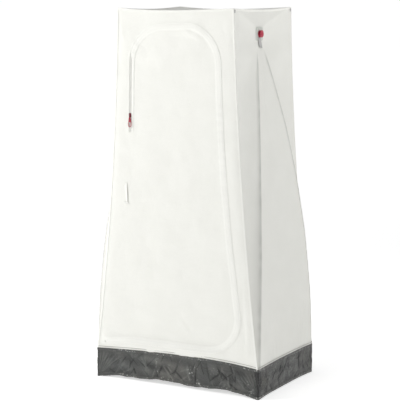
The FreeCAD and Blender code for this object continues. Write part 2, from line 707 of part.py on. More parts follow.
def pull_grip():
    """The moulded red grip on the tab: a tapered body with a small window, and a ring below."""
    top, shoulder, bottom = (SLIDER_Z - down for down in (GRIP_TOP, GRIP_SHOULDER, PULL_LENGTH))
    outline = [
        point_xz(SLIDER_X + side * width / 2, z)
        for side, width, z in (
            (-1, GRIP_TOP_WIDTH, top), (1, GRIP_TOP_WIDTH, top),
            (1, GRIP_WIDTH, shoulder), (-1, GRIP_WIDTH, shoulder),
        )
    ]
    face = Part.Face(Part.makePolygon(outline + outline[:1]))
    body = plate_xz(face, PIVOT_Y - GRIP_HALF_DEPTH, PIVOT_Y + GRIP_HALF_DEPTH)
    body = body.makeFillet(3.0, edges_as_long_as(body, 2 * GRIP_HALF_DEPTH))
    ring_top, ring_half = GRIP_SHOULDER - 5.0, RING_WIDTH / 2
    ring = at_slider(-ring_half, ring_half, PIVOT_Y - RING_HALF_DEPTH, PIVOT_Y + RING_HALF_DEPTH,
                     -PULL_LENGTH, -ring_top)
    ring = ring.makeFillet(ring_half - 1.0, edges_as_long_as(ring, 2 * RING_HALF_DEPTH))
    opening_half, depth = ring_half - RING_RAIL, 2 * RING_HALF_DEPTH
    opening = at_slider(-opening_half, opening_half, PIVOT_Y - depth, PIVOT_Y + depth,
                        RING_RAIL - PULL_LENGTH, -ring_top - RING_RAIL)
    opening = opening.makeFillet(opening_half - 1.0, edges_as_long_as(opening, 2 * depth))
    window_half, window_length = 2.2, 11.0
    middle = -(GRIP_TOP + GRIP_SHOULDER) / 2
    window = at_slider(-window_half, window_half, PIVOT_Y - 2 * GRIP_HALF_DEPTH, PIVOT_Y,
                       middle - window_length / 2, middle + window_length / 2)
    window = window.makeFillet(window_half - 0.2, edges_as_long_as(window, 2 * GRIP_HALF_DEPTH))
    grip = body.fuse(ring.cut(opening)).removeSplitter()
    return grip.cut(window).cut(pull_tab())


# ---- Door tie ------------------------------------------------------------------------------
def door_tie_strap():
    """The strap by which the rolled door is tied back, sewn to the door's outer face."""
    inner_y = FRONT - SLIDER_CLEARANCE
    return block(TIE_X - TIE_HALF_WIDTH, TIE_X + TIE_HALF_WIDTH, inner_y - WEBBING, inner_y,
                 TIE_BOTTOM, TIE_TOP)


def door_tie_toggle():
    """The toggle at the strap's lower end."""
    radius, half_length, rounding, above_end = 3.0, 13.0, 1.2, 6.0
    bar_y = FRONT - SLIDER_CLEARANCE - WEBBING - SEAM_GAP - radius
    centre = Vector(TIE_X - half_length, bar_y, TIE_BOTTOM + above_end)
    bar = rod(centre, X_AXIS, 2 * half_length, radius)
    return bar.makeFillet(rounding, [e for e in bar.Edges if e.Length > 4 * radius])


# ---- Everything, node by node --------------------------------------------------------------
def write_shell():
    save("front_wall", front_wall())
    save("back_wall", back_wall())
    save("roof_panel", roof_panel())
    save("floor_sheet", floor_sheet())
    save("tub_wall_back", tub_end())
    save("tub_wall_front", on_side(tub_end(), 1, -1))
    save("hinge_binding", hinge_binding())
    save("roof_corner_pockets", at_all_corners(roof_corner_pocket()))
    save("floor_corner_pockets", at_all_corners(floor_corner_pocket()))
    save("corner_loops", at_all_corners(corner_loop()))
    save("pole_ties", at_all_corners(leg_ties()))
    for side, sign in SIDES.items():
        save(f"{side}_wall", on_side(side_wall(), sign))
        save(f"tub_wall_{side}", on_side(tub_side(), sign))
        save(f"patch_{side}", on_side(reinforcement_patch(), sign))
        save(f"eyelet_{side}", on_side(eyelet(), sign))
        save(f"webbing_tail_{side}", on_side(webbing_tail(), sign))


def write_frame():
    section_names = ("lower", "middle", "upper")
    for side, sign in SIDES.items():
        save(f"hub_{side}", on_side(hub(), sign))
        save(f"locking_button_{side}", on_side(locking_button(), sign))
        save(f"ridge_bar_{side}", on_side(ridge_bar_half(), sign))
        for end, end_sign in ENDS.items():
            save(f"roof_arm_{end}_{side}", on_side(roof_arm(), sign, end_sign))
            for index, name in enumerate(section_names):
                section = on_side(leg_section(index), sign, end_sign)
                save(f"leg_{end}_{side}_{name}", section)
    save("ridge_bar_ferrule", ridge_ferrule())
    save("leg_ferrules", at_all_corners(leg_ferrules()))
    save("shock_cords", at_all_corners(leg_shock_cord()))
    save("foot_caps", at_all_corners(foot_cap()))
    save("arm_tip_caps", at_all_corners(arm_tip_cap()))


def write_door():
    save("door_panel", door_panel())
    save("zip_tape_doorway", zip_band(COIL_INNER, TAPE_EDGE, *TAPE_Y))
    save("zip_coil_doorway", zip_band(COIL_INNER, COIL_OUTER, *COIL_Y))
    save("zip_tape_door", door_zip_band(COIL_INNER, TAPE_EDGE, *TAPE_Y))
    save("zip_coil_door", door_zip_band(COIL_INNER, COIL_OUTER, *COIL_Y))
    save("zip_slider", zip_slider())
    save("outer_pull_tab", pull_tab())
    save("outer_pull_grip", pull_grip())
    save("inner_pull_tab", across_zip(pull_tab()))
    save("inner_pull_grip", across_zip(pull_grip()))
    save("door_tie_strap", door_tie_strap())
    save("door_tie_toggle", door_tie_toggle())


os.makedirs("parts", exist_ok=True)
write_shell()
write_frame()
write_door()
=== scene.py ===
from functools import partial
import math

import bpy
import numpy as np
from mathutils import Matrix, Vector
from mathutils.geometry import delaunay_2d_cdt
from mathutils.kdtree import KDTree


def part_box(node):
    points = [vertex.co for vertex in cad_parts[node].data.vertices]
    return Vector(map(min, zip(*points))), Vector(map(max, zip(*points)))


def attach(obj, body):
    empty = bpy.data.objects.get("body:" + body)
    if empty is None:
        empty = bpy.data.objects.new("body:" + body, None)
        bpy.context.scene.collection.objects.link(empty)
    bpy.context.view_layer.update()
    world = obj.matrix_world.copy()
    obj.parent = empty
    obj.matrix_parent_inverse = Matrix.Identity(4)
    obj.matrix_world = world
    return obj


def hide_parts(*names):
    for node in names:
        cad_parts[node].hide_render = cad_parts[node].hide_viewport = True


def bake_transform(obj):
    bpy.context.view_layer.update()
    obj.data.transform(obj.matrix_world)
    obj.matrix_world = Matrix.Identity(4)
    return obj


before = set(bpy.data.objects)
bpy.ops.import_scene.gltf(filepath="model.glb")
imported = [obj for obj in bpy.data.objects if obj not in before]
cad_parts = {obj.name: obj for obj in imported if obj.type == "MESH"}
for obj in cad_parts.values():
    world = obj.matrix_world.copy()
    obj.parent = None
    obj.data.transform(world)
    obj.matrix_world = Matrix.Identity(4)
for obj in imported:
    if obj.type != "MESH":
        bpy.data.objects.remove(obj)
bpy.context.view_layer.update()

# Metres. The frame holds the poles, hubs, buttons, slider and pulls. Everything sewn is made
# here: each cloth panel is a height field over the front, side or roof plane, and each hem, tape
# and seam is a ribbon that follows a line on one of those panels.

# ---- Places read from the frame ------------------------------------------------------------
TUB_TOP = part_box("tub_wall_front")[1].z
BASE_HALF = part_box("tub_wall_right")[1].x
DEPTH_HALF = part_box("back_wall")[1].y
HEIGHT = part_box("roof_panel")[1].z
ROOF_INSET = 0.004           # from the corner seams to the roof panel's edge
TOP_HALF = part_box("roof_panel")[1].x + ROOF_INSET
PATCH_LOW, PATCH_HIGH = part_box("patch_right")
HUB_Z = (PATCH_LOW.z + PATCH_HIGH.z) / 2
PATCH_GAP = 0.0002           # between a patch and the wall's cloth
PAD_X = PATCH_LOW.x - PATCH_GAP
PATCH_SQUARENESS = 0.28      # the power of a rounded square's sines: 0 would be a square
SLIDER_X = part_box("zip_slider")[1].x
STRAP_LOW, STRAP_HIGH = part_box("door_tie_strap")
TAIL_LOW, TAIL_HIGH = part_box("webbing_tail_right")

# ---- Shape of the stretched shell ----------------------------------------------------------
SEAM_CONCAVITY = 0.024       # the corner seams pull in sideways, most at half height
SEAM_PULL = 0.007            # and towards the middle of the tent's depth
PULLED_FRONT = 0.05          # width of the cloth beside a corner seam that follows it in
PULLED_BACK = 0.10
TUB_FLARE = 0.003
EDGE_SAG = 0.013             # of the top edges between their corners
LEG_FOOT = (0.480, 0.316, 0.010)
LEG_MIDDLE = (0.448, 0.239, 0.930)
LEG_TOP = (0.301, 0.012, 1.850)
RIDGE_OUT = (0.012, 0.0035)  # from a leg's centre line to the cloth stretched over it
RIDGE_TOP = 1.794            # where a leg's ridge runs out, under the hub
PAD_HALF_HEIGHT = 0.038      # of the flat stretch of wall over the hub
PAD_HALF_WIDTH = 0.044
TOP_KNEE = (TOP_HALF - 0.001, DEPTH_HALF - 0.012)
RIDGE_ROUNDING = 0.007
SEWN_TO_TUB = 0.003          # how far the walls' cloth reaches below the tub's top edge
CLOTH = 0.0006
TUB_CLOTH = 0.0008

# ---- Door and zip, on the front plane as (x, z) --------------------------------------------
HINGE_BOTTOM = np.array((-0.440, 0.204))
HINGE_TOP = np.array((-0.262, 1.352))
BINDING_HALF = 0.0095
CLOTH_EDGE = 0.006           # from the zip's centre line to the cloth on each side
FLAP_REACH = 0.0052          # of the door's flap past the zip's centre line, on to the wall
FLAP_WIDTH = 0.023
PANEL_CUTS = (0.300, 1.700)  # heights at which the front wall is cut into panels
PANEL_CUT_REACH = 0.49
MESH_SPACING = 0.0125
WALL_HEM = 0.017
TAPE_EDGE = 0.018
HEM_OUT = 0.0009             # how far a turned hem stands off its panel
HEM_LAP = 0.0004             # of a hem over its panel's edge
SEAM_THREAD_OUT = 0.0018
TAPE_OUT = (-0.0030, -0.0022)
COIL_OUT = (-0.0021, -0.0002)
COIL_REACH = 0.0033
TAPE_GAP = 0.0003
TAPE_COVER = (0.0009, 0.0035, 0.0003)     # near and far edge, and height, over the coil
COIL_PITCH = 0.0022
STITCH_PITCH = 0.0052
STITCH_SHARE = 0.68          # of the pitch that shows as thread
THREAD_RADIUS = 0.00045
ZIP_POINT_SPACING = 0.004
ZIP_EASING = 4               # points on each side that round the zip's corners
ROWS_BESIDE_ZIP = (0.012, 0.019, 0.027)
SLIDER_RUN_MIDDLE, SLIDER_RUN_HALF = 1.535, 0.18

# ---- Stage, light and camera ---------------------------------------------------------------
FLOOR_RADIUS = 600.0
FLOOR_GLOW_AT = (3.0, 8.0)   # distances from the tent between which the glow rises
FLOOR_GLOW = (0.56, 0.72)
SKY_DARKENS = (0.04, 0.13)   # sines of the elevations between which the sky darkens
SKY_STRENGTH = (1.0, 0.30)
LAMPS = (
    # name, azimuth, elevation, distance, size, watts: azimuth 0 is in front, 90 to the right
    ("key_light", -54, 26, 6.0, 2.4, 202),
    ("fill_light", 2, 24, 3.4, 1.2, 4),
    ("rim_light", 112, 34, 3.6, 2.0, 27),
)
CAMERA_PLACE = (3.7403, -6.7560, 2.0800)
CAMERA_AZIMUTH, CAMERA_PITCH = 29.187, 8.561
FOCAL_SHARE = 3.4467         # focal length over the picture's width
SENSOR = 36.0                # millimetres


# ---- Curves and height fields --------------------------------------------------------------
def arc_points(first, middle, last, count):
    """Evenly spaced points on the circle through three points."""
    a, b, c = (np.asarray(p, float) for p in (first, middle, last))
    ab, ac = b - a, c - a
    normal = np.cross(ab, ac)
    lifted = np.cross(normal, ab) * (ac @ ac) + np.cross(ac, normal) * (ab @ ab)
    centre = a + lifted / (2 * normal @ normal)
    start = a - centre
    other = np.cross(normal / np.linalg.norm(normal), start)
    sweep = math.atan2((c - centre) @ other, (c - centre) @ start) % math.tau
    angles = np.linspace(0, sweep, count)
    return centre + np.outer(np.cos(angles), start) + np.outer(np.sin(angles), other)


def distances(line):
    """How far along a line each of its points lies."""
    steps = np.linalg.norm(np.diff(line, axis=0), axis=1)
    return np.concatenate([[0], np.cumsum(steps)])


def rows_at(at, travelled, table):
    """A table's rows, interpolated at distances along it."""
    return np.stack([np.interp(at, travelled, column) for column in table.T], axis=-1)


def paired(first, second):
    """Two coordinates, broadcast together, as points."""
    return np.stack(np.broadcast_arrays(first, second), axis=-1)


def smooth(low, high, value):
    """0 below low, 1 above high, and an even step between them."""
    t = np.clip((value - low) / (high - low), 0, 1)
    return t * t * (3 - 2 * t)


def bell(off, width):
    """1 where off is 0, and almost nothing at twice the width."""
    return np.exp(-((off / width) ** 2))


def height_share(z):
    """0 at the tub's top, 1 at the roof."""
    return np.clip((z - TUB_TOP) / (HEIGHT - TUB_TOP), 0, 1)


def seam_half_width(z):
    share = height_share(z)
    straight = (BASE_HALF - TUB_FLARE) * (1 - share) + TOP_HALF * share
    return straight - 4 * SEAM_CONCAVITY * share * (1 - share)


def seam_half_depth(z):
    share = height_share(z)
    return DEPTH_HALF - 4 * SEAM_PULL * share * (1 - share)


def end_sag(across):
    """How far the top edge over the door hangs, deepest a little to the left."""
    return EDGE_SAG * (1 - across**2) * (1 - 0.35 * across)


def side_sag(across):
    return 0.8 * EDGE_SAG * (1 - across**2)


def undulation(u, v, wavelength, seed):
    """Gentle uneven waves between about -1 and 1."""
    draw = np.random.default_rng(seed)
    total = np.zeros(np.broadcast(u, v).shape)
    waves = 9
    for _ in range(waves):
        heading = draw.uniform(0, math.pi)
        length = wavelength * draw.uniform(0.6, 1.7)
        phase = draw.uniform(0, math.tau)
        along = u * math.cos(heading) + v * math.sin(heading)
        total += np.sin(math.tau * along / length + phase)
    return total / waves**0.5 / 1.4


def crease(u, v, start, end, half_width, height, sharp=False):
    """A fold along a segment: a round or a sharp crest that dies away at both ends."""
    start, end = np.asarray(start, float), np.asarray(end, float)
    length = np.linalg.norm(end - start)
    along_u, along_v = (end - start) / length
    du, dv = u - start[0], v - start[1]
    along = (du * along_u + dv * along_v) / length
    across = np.abs(dv * along_u - du * along_v) / half_width
    crest = np.clip(1 - across, 0, 1) ** 2 if sharp else np.exp(-(across**2) * 2)
    ends = np.clip(4 * along * (1 - along), 0, 1) ** 0.7
    return height * crest * ends


def creased(loose, u, v, rows):
    """Loose cloth with several creases added."""
    return sum((crease(u, v, *row) for row in rows), loose)


# ---- The zip's line ------------------------------------------------------------------------
def flat_arc(first, middle, last, count):
    points = [(x, 0, z) for x, z in (first, middle, last)]
    return arc_points(*points, count)[:, [0, 2]]


def zip_line():
    """Points every few millimetres from the hinge's top, up, over and down round the door."""
    start, left_high = (-0.2711, HINGE_TOP[1]), (-0.265, 1.700)
    top_left, top_right = (-0.075, 1.905), (0.095, 1.912)
    right_high, right_low = (0.258, 1.700), (0.374, 0.430)
    bottom_right, bottom_left = (0.190, 0.229), (-0.262, 0.229)
    corners = np.vstack([
        [start],
        flat_arc(left_high, (-0.209, 1.845), top_left, 40),
        flat_arc(top_right, (0.206, 1.846), right_high, 40),
        flat_arc(right_high, (0.283, 1.217), right_low, 60)[1:],
        flat_arc(right_low, (0.325, 0.283), bottom_right, 40)[1:],
        [bottom_left],
        [HINGE_BOTTOM],
    ])
    travelled = distances(corners)
    t = np.linspace(0, travelled[-1], int(travelled[-1] / ZIP_POINT_SPACING))
    line = rows_at(t, travelled, corners)
    kernel = np.ones(2 * ZIP_EASING + 1) / (2 * ZIP_EASING + 1)
    for axis in (0, 1):
        padded = np.pad(line[:, axis], ZIP_EASING, mode="reflect", reflect_type="odd")
        line[:, axis] = np.convolve(padded, kernel, mode="valid")
    return t, line


def search_tree(points):
    """A tree that finds the nearest of some flat points."""
    tree = KDTree(len(points))
    for index, (x, z) in enumerate(points):
        tree.insert((x, z, 0), index)
    tree.balance()
    return tree


ZIP_T, ZIP_LINE = zip_line()
ZIP_AHEAD = np.gradient(ZIP_LINE, ZIP_T, axis=0)
ZIP_AHEAD /= np.linalg.norm(ZIP_AHEAD, axis=1)[:, None]
ZIP_OUTWARD = np.c_[-ZIP_AHEAD[:, 1], ZIP_AHEAD[:, 0]]
ZIP_TREE = search_tree(ZIP_LINE)


def near_zip(x, z):
    """For each point, the distance along the zip of the nearest place on it, and how far off."""
    flat = np.c_[np.ravel(x), np.ravel(z)]
    found = [ZIP_TREE.find((px, pz, 0)) for px, pz in flat]
    t = np.array([ZIP_T[index] for _, index, _ in found])
    off = np.array([distance for _, _, distance in found])
    return t.reshape(np.shape(x)), off.reshape(np.shape(x))


# ---- Panels as height fields ---------------------------------------------------------------
FRONT_CREASES = (
    # start, end, half width, height: soft folds over the door, valleys in the right margin
    ((0.045, 1.893), (0.165, 1.838), 0.016, 0.0030),
    ((-0.030, 1.872), (0.110, 1.868), 0.012, 0.0015),
    ((0.396, 0.640), (0.412, 0.220), 0.009, -0.0022),
    ((0.425, 0.560), (0.436, 0.200), 0.008, 0.0016),
    ((0.300, 1.960), (0.335, 1.700), 0.012, 0.0014),
    ((-0.335, 1.960), (-0.290, 1.780), 0.014, 0.0014),
    ((-0.420, 0.260), (-0.200, 0.205), 0.012, 0.0016),
    ((-0.160, 0.320), (0.050, 0.262), 0.016, 0.0014),
    ((0.020, 0.420), (0.110, 0.300), 0.014, -0.0012),
)
BACK_CREASES = (
    ((-0.38, 0.42), (-0.33, 0.17), 0.014, 0.003),
    ((0.12, 0.36), (0.16, 0.17), 0.014, 0.0025),
    ((0.30, 1.96), (0.10, 1.86), 0.014, 0.002),
)
SIDE_CREASES = (
    # (y, z) start and end, half width, height: drag lines under the hub and folds above the tub
    ((-0.030, 1.780), (-0.048, 1.350), 0.011, -0.0020),
    ((0.026, 1.780), (0.120, 1.420), 0.010, -0.0018),
    ((0.210, 0.430), (0.196, 0.170), 0.011, 0.0030),
    ((0.245, 0.400), (0.235, 0.165), 0.010, -0.0028),
    ((0.150, 0.330), (0.165, 0.165), 0.012, -0.0020),
    ((-0.140, 0.300), (-0.120, 0.165), 0.012, 0.0022),
    ((-0.060, 1.930), (-0.250, 1.985), 0.010, 0.0014),
    ((0.060, 1.930), (0.250, 1.985), 0.010, 0.0014),
)


def bottom_bulge(x, z):
    """The roll of slack cloth along the zip's lowest run, just above the tub."""
    crest = 0.219
    drop = bell(z - crest, np.where(z > crest, 0.034, 0.019))
    ends = smooth(-0.475, -0.400, x) * (1 - smooth(0.170, 0.330, x))
    wave = 1 + 0.16 * np.sin(x * 23) + 0.08 * np.sin(x * 49 + 1)
    return 0.0110 * drop * ends * wave


def beside_slider(x, z):
    """0 where the slider runs or lies, 1 away from it, so that the cloth stays flat there."""
    off = np.hypot(np.maximum(np.abs(x - SLIDER_X) - 0.006, 0),
                   np.maximum(np.abs(z - SLIDER_RUN_MIDDLE) - SLIDER_RUN_HALF, 0))
    return smooth(0.008, 0.045, off)


def front_out(x, z):
    """How far the front cloth stands out from the front plane."""
    x, z = np.broadcast_arrays(np.asarray(x, float), np.asarray(z, float))
    to_seam = np.clip(seam_half_width(z) - np.abs(x), 0, None)
    pulled = (DEPTH_HALF - seam_half_depth(z)) * np.clip(1 - to_seam / PULLED_FRONT, 0, 1) ** 2
    t, off = near_zip(x, z)
    pucker = np.sin(t * math.tau / 0.041 + 2.5 * np.sin(t * 7))
    pucker = pucker * np.clip(0.35 + np.sin(t * 4.7 + 0.6), 0, 1) * smooth(0.26, 0.40, z)
    loose = 0.0012 * undulation(x, z * 0.7, 0.21, 3) + 0.0005 * undulation(x, z, 0.07, 4)
    loose = loose + 0.0009 * pucker * bell(off, 0.022)
    loose = loose + 0.0008 * bell(off, 0.018)
    loose = creased(loose, x, z, FRONT_CREASES)
    held = smooth(0, 0.035, to_seam) * smooth(0, 0.03, HEIGHT - end_sag(x / TOP_HALF) - z)
    return (loose * held + bottom_bulge(x, z)) * beside_slider(x, z) - pulled


def back_out(x, z):
    """The same for the plain back wall."""
    to_seam = np.clip(seam_half_width(z) - np.abs(x), 0, None)
    pulled = (DEPTH_HALF - seam_half_depth(z)) * np.clip(1 - to_seam / PULLED_BACK, 0, 1) ** 2
    loose = 0.0016 * undulation(x, z * 0.6, 0.30, 11) + 0.0006 * undulation(x, z, 0.08, 12)
    loose = creased(loose, x, z, BACK_CREASES)
    held = smooth(0, 0.05, to_seam) * smooth(0, 0.05, HEIGHT - z)
    return loose * held - pulled


def knee_table():
    """Heights, x and y of the crease that each leg and each roof arm makes in a side wall."""
    leg = arc_points(LEG_FOOT, LEG_MIDDLE, LEG_TOP, 160)
    leg = leg[leg[:, 2] < RIDGE_TOP]
    z = [*leg[:, 2], HUB_Z - PAD_HALF_HEIGHT, HUB_Z + PAD_HALF_HEIGHT, HEIGHT]
    x = [*(leg[:, 0] + RIDGE_OUT[0]), PAD_X, PAD_X, TOP_KNEE[0]]
    y = [*(leg[:, 1] + RIDGE_OUT[1]), PAD_HALF_WIDTH, PAD_HALF_WIDTH, TOP_KNEE[1]]
    return np.array(z), np.array(x), np.array(y)


KNEE_Z, KNEE_X, KNEE_Y = knee_table()


def knee(z):
    """The crease's x and y at a height, with its corners eased a little."""
    shifts = (-0.006, 0.0, 0.006)
    return [sum(np.interp(z + shift, KNEE_Z, values) for shift in shifts) / len(shifts)
            for values in (KNEE_X, KNEE_Y)]


def side_x(y, z):
    """Half the tent's width at a depth and height: the side wall's height field."""
    y, z = np.broadcast_arrays(np.asarray(y, float), np.asarray(z, float))
    depth = np.abs(y)
    knee_x, knee_y = knee(z)
    seam_x, seam_y = seam_half_width(z), seam_half_depth(z)
    slope = (seam_x - knee_x) / np.maximum(seam_y - knee_y, 0.004)

    def section(at):
        return knee_x + slope * np.maximum(at - knee_y, 0)

    taps = ((-1.0, 1), (-0.5, 2), (0.0, 3), (0.5, 2), (1.0, 1))
    x = sum(section(depth + RIDGE_ROUNDING * tap) * weight for tap, weight in taps)
    x = x / sum(weight for _, weight in taps)
    below_hub = 1 - smooth(1.60, 1.78, z)
    inner = np.clip(1 - (depth / knee_y) ** 2, 0, 1)
    x = x - 0.009 * inner * np.sin(math.pi * height_share(z)) * below_hub
    outer = np.clip((depth - knee_y) / np.maximum(seam_y - knee_y, 0.004), 0, 1)
    slack = 0.018 + 0.062 * below_hub
    x = x - slack * (seam_y - knee_y) * 4 * outer * (1 - outer)
    off = depth - knee_y
    proud = 0.0022 * (bell(off, 0.007) - bell(off - 0.016, 0.008))
    x = x + proud * below_hub
    loose = 0.0010 * undulation(y, z * 0.6, 0.22, 21) + 0.0004 * undulation(y, z, 0.06, 22)
    loose = creased(loose, y, z, SIDE_CREASES)
    off_pad = np.hypot(np.maximum(depth - 0.02, 0), np.maximum(np.abs(z - HUB_Z) - 0.02, 0))
    held = smooth(0, 0.03, seam_y - depth) * smooth(0, 0.03, HEIGHT - z) * smooth(0.02, 0.06, off_pad)
    return x + loose * held


def side_painted_shade(y, z):
    """Painted shade on a side wall: a grey line along each leg, a darker band low down on the seam
    side of the front leg, and a darker V over the hub and funnel under it. Besides that, the wall is
    a little darker just above the tub.
    """
    depth = np.abs(y)
    off = depth - knee(z)[1]
    uneven = 0.88 + 0.12 * np.sin(z * 53 + 2 * np.sin(z * 17))
    below_hub = 1 - smooth(1.70, 1.80, z)
    strength = np.where(y > 0, 0.75, 0.62)
    # painted shade: the line along each leg, the band beside the front leg, the V over the hub and
    # the funnel under it
    painted_shading_values = strength * bell(off, 0.0075) * uneven
    shaded = 0.13 * bell(off - 0.014, 0.016) * (1 - smooth(0.5, 1.5, z)) * (y < 0)
    above_hub = 0.17 * smooth(1.84, 1.90, z) * (1 - smooth(-0.03, 0.02, off))
    funnel = 0.08 * bell(depth, 0.030) * smooth(1.55, 1.75, z) * (z < HUB_Z)
    foot = 0.05 * bell(z - TUB_TOP, 0.03)
    return (painted_shading_values + shaded) * below_hub + above_hub + funnel + foot


def front_point(x, z, out):
    x, z, out = np.broadcast_arrays(x, z, out)
    return np.stack([x, -DEPTH_HALF - front_out(x, z) - out, z], axis=-1)


def back_point(x, z, out):
    x, z, out = np.broadcast_arrays(x, z, out)
    return np.stack([x, DEPTH_HALF + back_out(x, z) + out, z], axis=-1)


def side_point(sign, y, z, out=0.0):
    y, z, out = np.broadcast_arrays(y, z, out)
    return np.stack([sign * (side_x(y, z) + out), y, z], axis=-1)


def on_panel(point_at, flat, out):
    """Points over a panel, from their flat places and how far they stand off it."""
    return point_at(flat[..., 0], flat[..., 1], out)


# ---- The tub's outline ---------------------------------------------------------------------
CORNER_RADIUS = 0.009
TUB_SPACING = 0.0045
TUB_CREASES = 330
TUB_NEUTRAL = 0.5       # the painted shading value that leaves the tub's own colour as it is: less paints highlight on crests, more paints shade in valleys
TUB_CORNERS = np.cumsum((0.0, 2 * BASE_HALF, 2 * DEPTH_HALF, 2 * BASE_HALF, 2 * DEPTH_HALF))
CORNER_PAINTED_SHADE = np.array((0.3, 1.3, 1.2, 0.6, 0.3))     # how much painted shade, at each of those corners
FAN_LEANS = (-0.98, -0.80, -0.62, -0.46, -0.30, -0.15, 0.15, 0.30, 0.46, 0.62, 0.80, 0.98)
LOW_HEM = (-0.012, 0.085)                               # shares of the tub's height
TOP_HEM = (0.945, 1.035)
WELT = (1.085, 1.105)


def per_side(side, front, back, flank):
    """A value for each side of the tub: 0 is the front and 2 is the back."""
    return np.select([side == 0, side == 2], [front, back], flank)


def tub_top_rise(side, u):
    """Height of the tub's top edge along each side, u from -1 to 1 anticlockwise."""
    front = 0.021 * (1 - np.abs(u) ** 2.5) * (1 + 0.3 * u)
    return 0.005 + TUB_TOP + per_side(side, front, 0.012 * (1 - u**2), 0.006 * (1 - u**2))


def hem_lift(side, u):
    """How far the tub's lower edge hangs clear of the ground between its corners."""
    uneven = 0.0011 * np.sin(23 * u + 1) + 0.0008 * np.sin(43 * u)
    front = 0.0225 + 0.0045 * np.cos(math.tau * (u + 0.15) / 0.75) + uneven
    front = front * (1 - np.abs(u) ** 6)
    return per_side(side, front, 0.010 * (1 - u**4), 0.006 * (1 - u**4))


def tub_outline(spacing):
    """Round the tub from the front left corner: a table of x, y, outward x, outward y, side and
    place along the side, and the distance of each of its rows."""
    rows = []
    for side, (hx, hy) in enumerate(((1, 0), (0, 1), (-1, 0), (0, -1))):
        along, off = (DEPTH_HALF, BASE_HALF) if side % 2 else (BASE_HALF, DEPTH_HALF)
        out_x, out_y = hy, -hx
        reach = along - CORNER_RADIUS
        for place in np.linspace(-reach, reach, int(2 * reach / spacing)):
            rows.append((hx * place + out_x * off, hy * place + out_y * off,
                         out_x, out_y, side, place / along))
        centre = (hx * reach + out_x * (off - CORNER_RADIUS),
                  hy * reach + out_y * (off - CORNER_RADIUS))
        for turn in np.linspace(0, math.pi / 2, 7)[1:-1]:
            nx = out_x * math.cos(turn) + hx * math.sin(turn)
            ny = out_y * math.cos(turn) + hy * math.sin(turn)
            rows.append((centre[0] + nx * CORNER_RADIUS, centre[1] + ny * CORNER_RADIUS,
                         nx, ny, side, 1.0))
    rows.append(rows[0])
    table = np.array(rows, float)
    return table, distances(table[:, :2])


TUB_TABLE, TUB_T = tub_outline(TUB_SPACING)
TUB_LENGTH = TUB_T[-1]


def around_tub(t):
    """The outline's columns at distances round the tub."""
    nearest = np.clip(np.searchsorted(TUB_T, t + 1e-9) - 1, 0, len(TUB_T) - 1)
    x, y, nx, ny, _, u = (np.interp(t, TUB_T, column) for column in TUB_TABLE.T)
    return x, y, nx, ny, TUB_TABLE[nearest, 4], u


def crumple(t, height):
    """The tub cloth's set creases: a seeded scatter of sharp folds over slow waves."""
    draw = np.random.default_rng(7)
    total = 0.0012 * undulation(t, height * 1.4, 0.10, 8)
    for _ in range(TUB_CREASES):
        centre = draw.uniform(0, TUB_LENGTH), draw.uniform(-0.01, 0.18)
        heading = draw.uniform(0.15, 0.85) * math.pi
        reach = draw.uniform(0.018, 0.060)
        step = np.array((math.cos(heading), math.sin(heading))) * reach
        half_width = draw.uniform(0.004, 0.012)
        rise = draw.uniform(0.0016, 0.0048) * draw.choice((-1, 1))
        total = total + crease(t, height, centre - step, centre + step, half_width, rise, sharp=True)
    return total


def corner_fans(t, height):
    """Creases that spread upwards from each pulled-out bottom corner."""
    total = 0.0
    low, reach, rise = 0.012, 0.14, 0.15
    for corner in TUB_CORNERS:
        for lean in FAN_LEANS:
            start = (corner + 0.02 * lean, low)
            end = (corner + reach * lean, low + rise * (1 - 0.35 * abs(lean)))
            total = total + crease(t, height, start, end, 0.0060, 0.0034, sharp=True)
    return total


def tub_folds(t, share, u):
    """How far the tub's folds stand out, level along its sewn top edge."""
    level = np.clip(share, 0, 1)
    free = 1 - np.abs(u) ** 8
    folds = crumple(t, share * TUB_TOP) * free + corner_fans(t, share * TUB_TOP)
    return folds * (0.25 * (1 - level) + 0.75 * np.sin(math.pi * level) ** 0.5)


def tub_point(t, share, out=0.0):
    """A point of the tub's wall, share 0 at its lower edge and 1 at its top."""
    t, share, out = np.broadcast_arrays(t, share, out)
    x, y, nx, ny, side, u = around_tub(t)
    low, high = hem_lift(side, u), tub_top_rise(side, u)
    bow = per_side(side, 0.014, 0.010, 0.006) * (1 - u**4)
    inward = bow * np.clip(1 - share, 0, 1.1) ** 1.5
    stand = tub_folds(t, share, u) - inward + out
    return np.stack([x + nx * stand, y + ny * stand, low + share * (high - low)], axis=-1)


# ---- Meshes --------------------------------------------------------------------------------
ANY_WAY = (0.31, 0.52, 0.79)        # a direction that no line of stitches runs along
TUBE_SIDES = 28


def add_piece(name, points, faces, finish, places, painted_shading_and_grey=None):
    """A smooth mesh object. places are the points' positions on the flat cloth, for the weave,
    and the last argument shifts each point's colour: painted shade on the side walls, painted shade
    and highlight on the tub, and the grey of the welt at the walls' foot."""
    mesh = bpy.data.meshes.new(name)
    mesh.from_pydata(np.asarray(points, float).tolist(), [], [list(map(int, f)) for f in faces])
    mesh.update()
    mesh.polygons.foreach_set("use_smooth", [True] * len(mesh.polygons))
    mesh.set_sharp_from_angle(angle=math.radians(50))
    place = mesh.attributes.new("flat_place", "FLOAT_VECTOR", "POINT")
    flat = np.zeros((len(points), 3), np.float32)
    flat[:, :2] = places
    place.data.foreach_set("vector", flat.ravel())
    if painted_shading_and_grey is not None:
        painted_shading_values = mesh.attributes.new("painted_shading_and_grey", "FLOAT", "POINT")
        painted_shading_values.data.foreach_set("value", np.asarray(painted_shading_and_grey, np.float32).ravel())
    mesh.materials.append(finish)
    piece = bpy.data.objects.new(name, mesh)
    bpy.context.collection.objects.link(piece)
    return piece


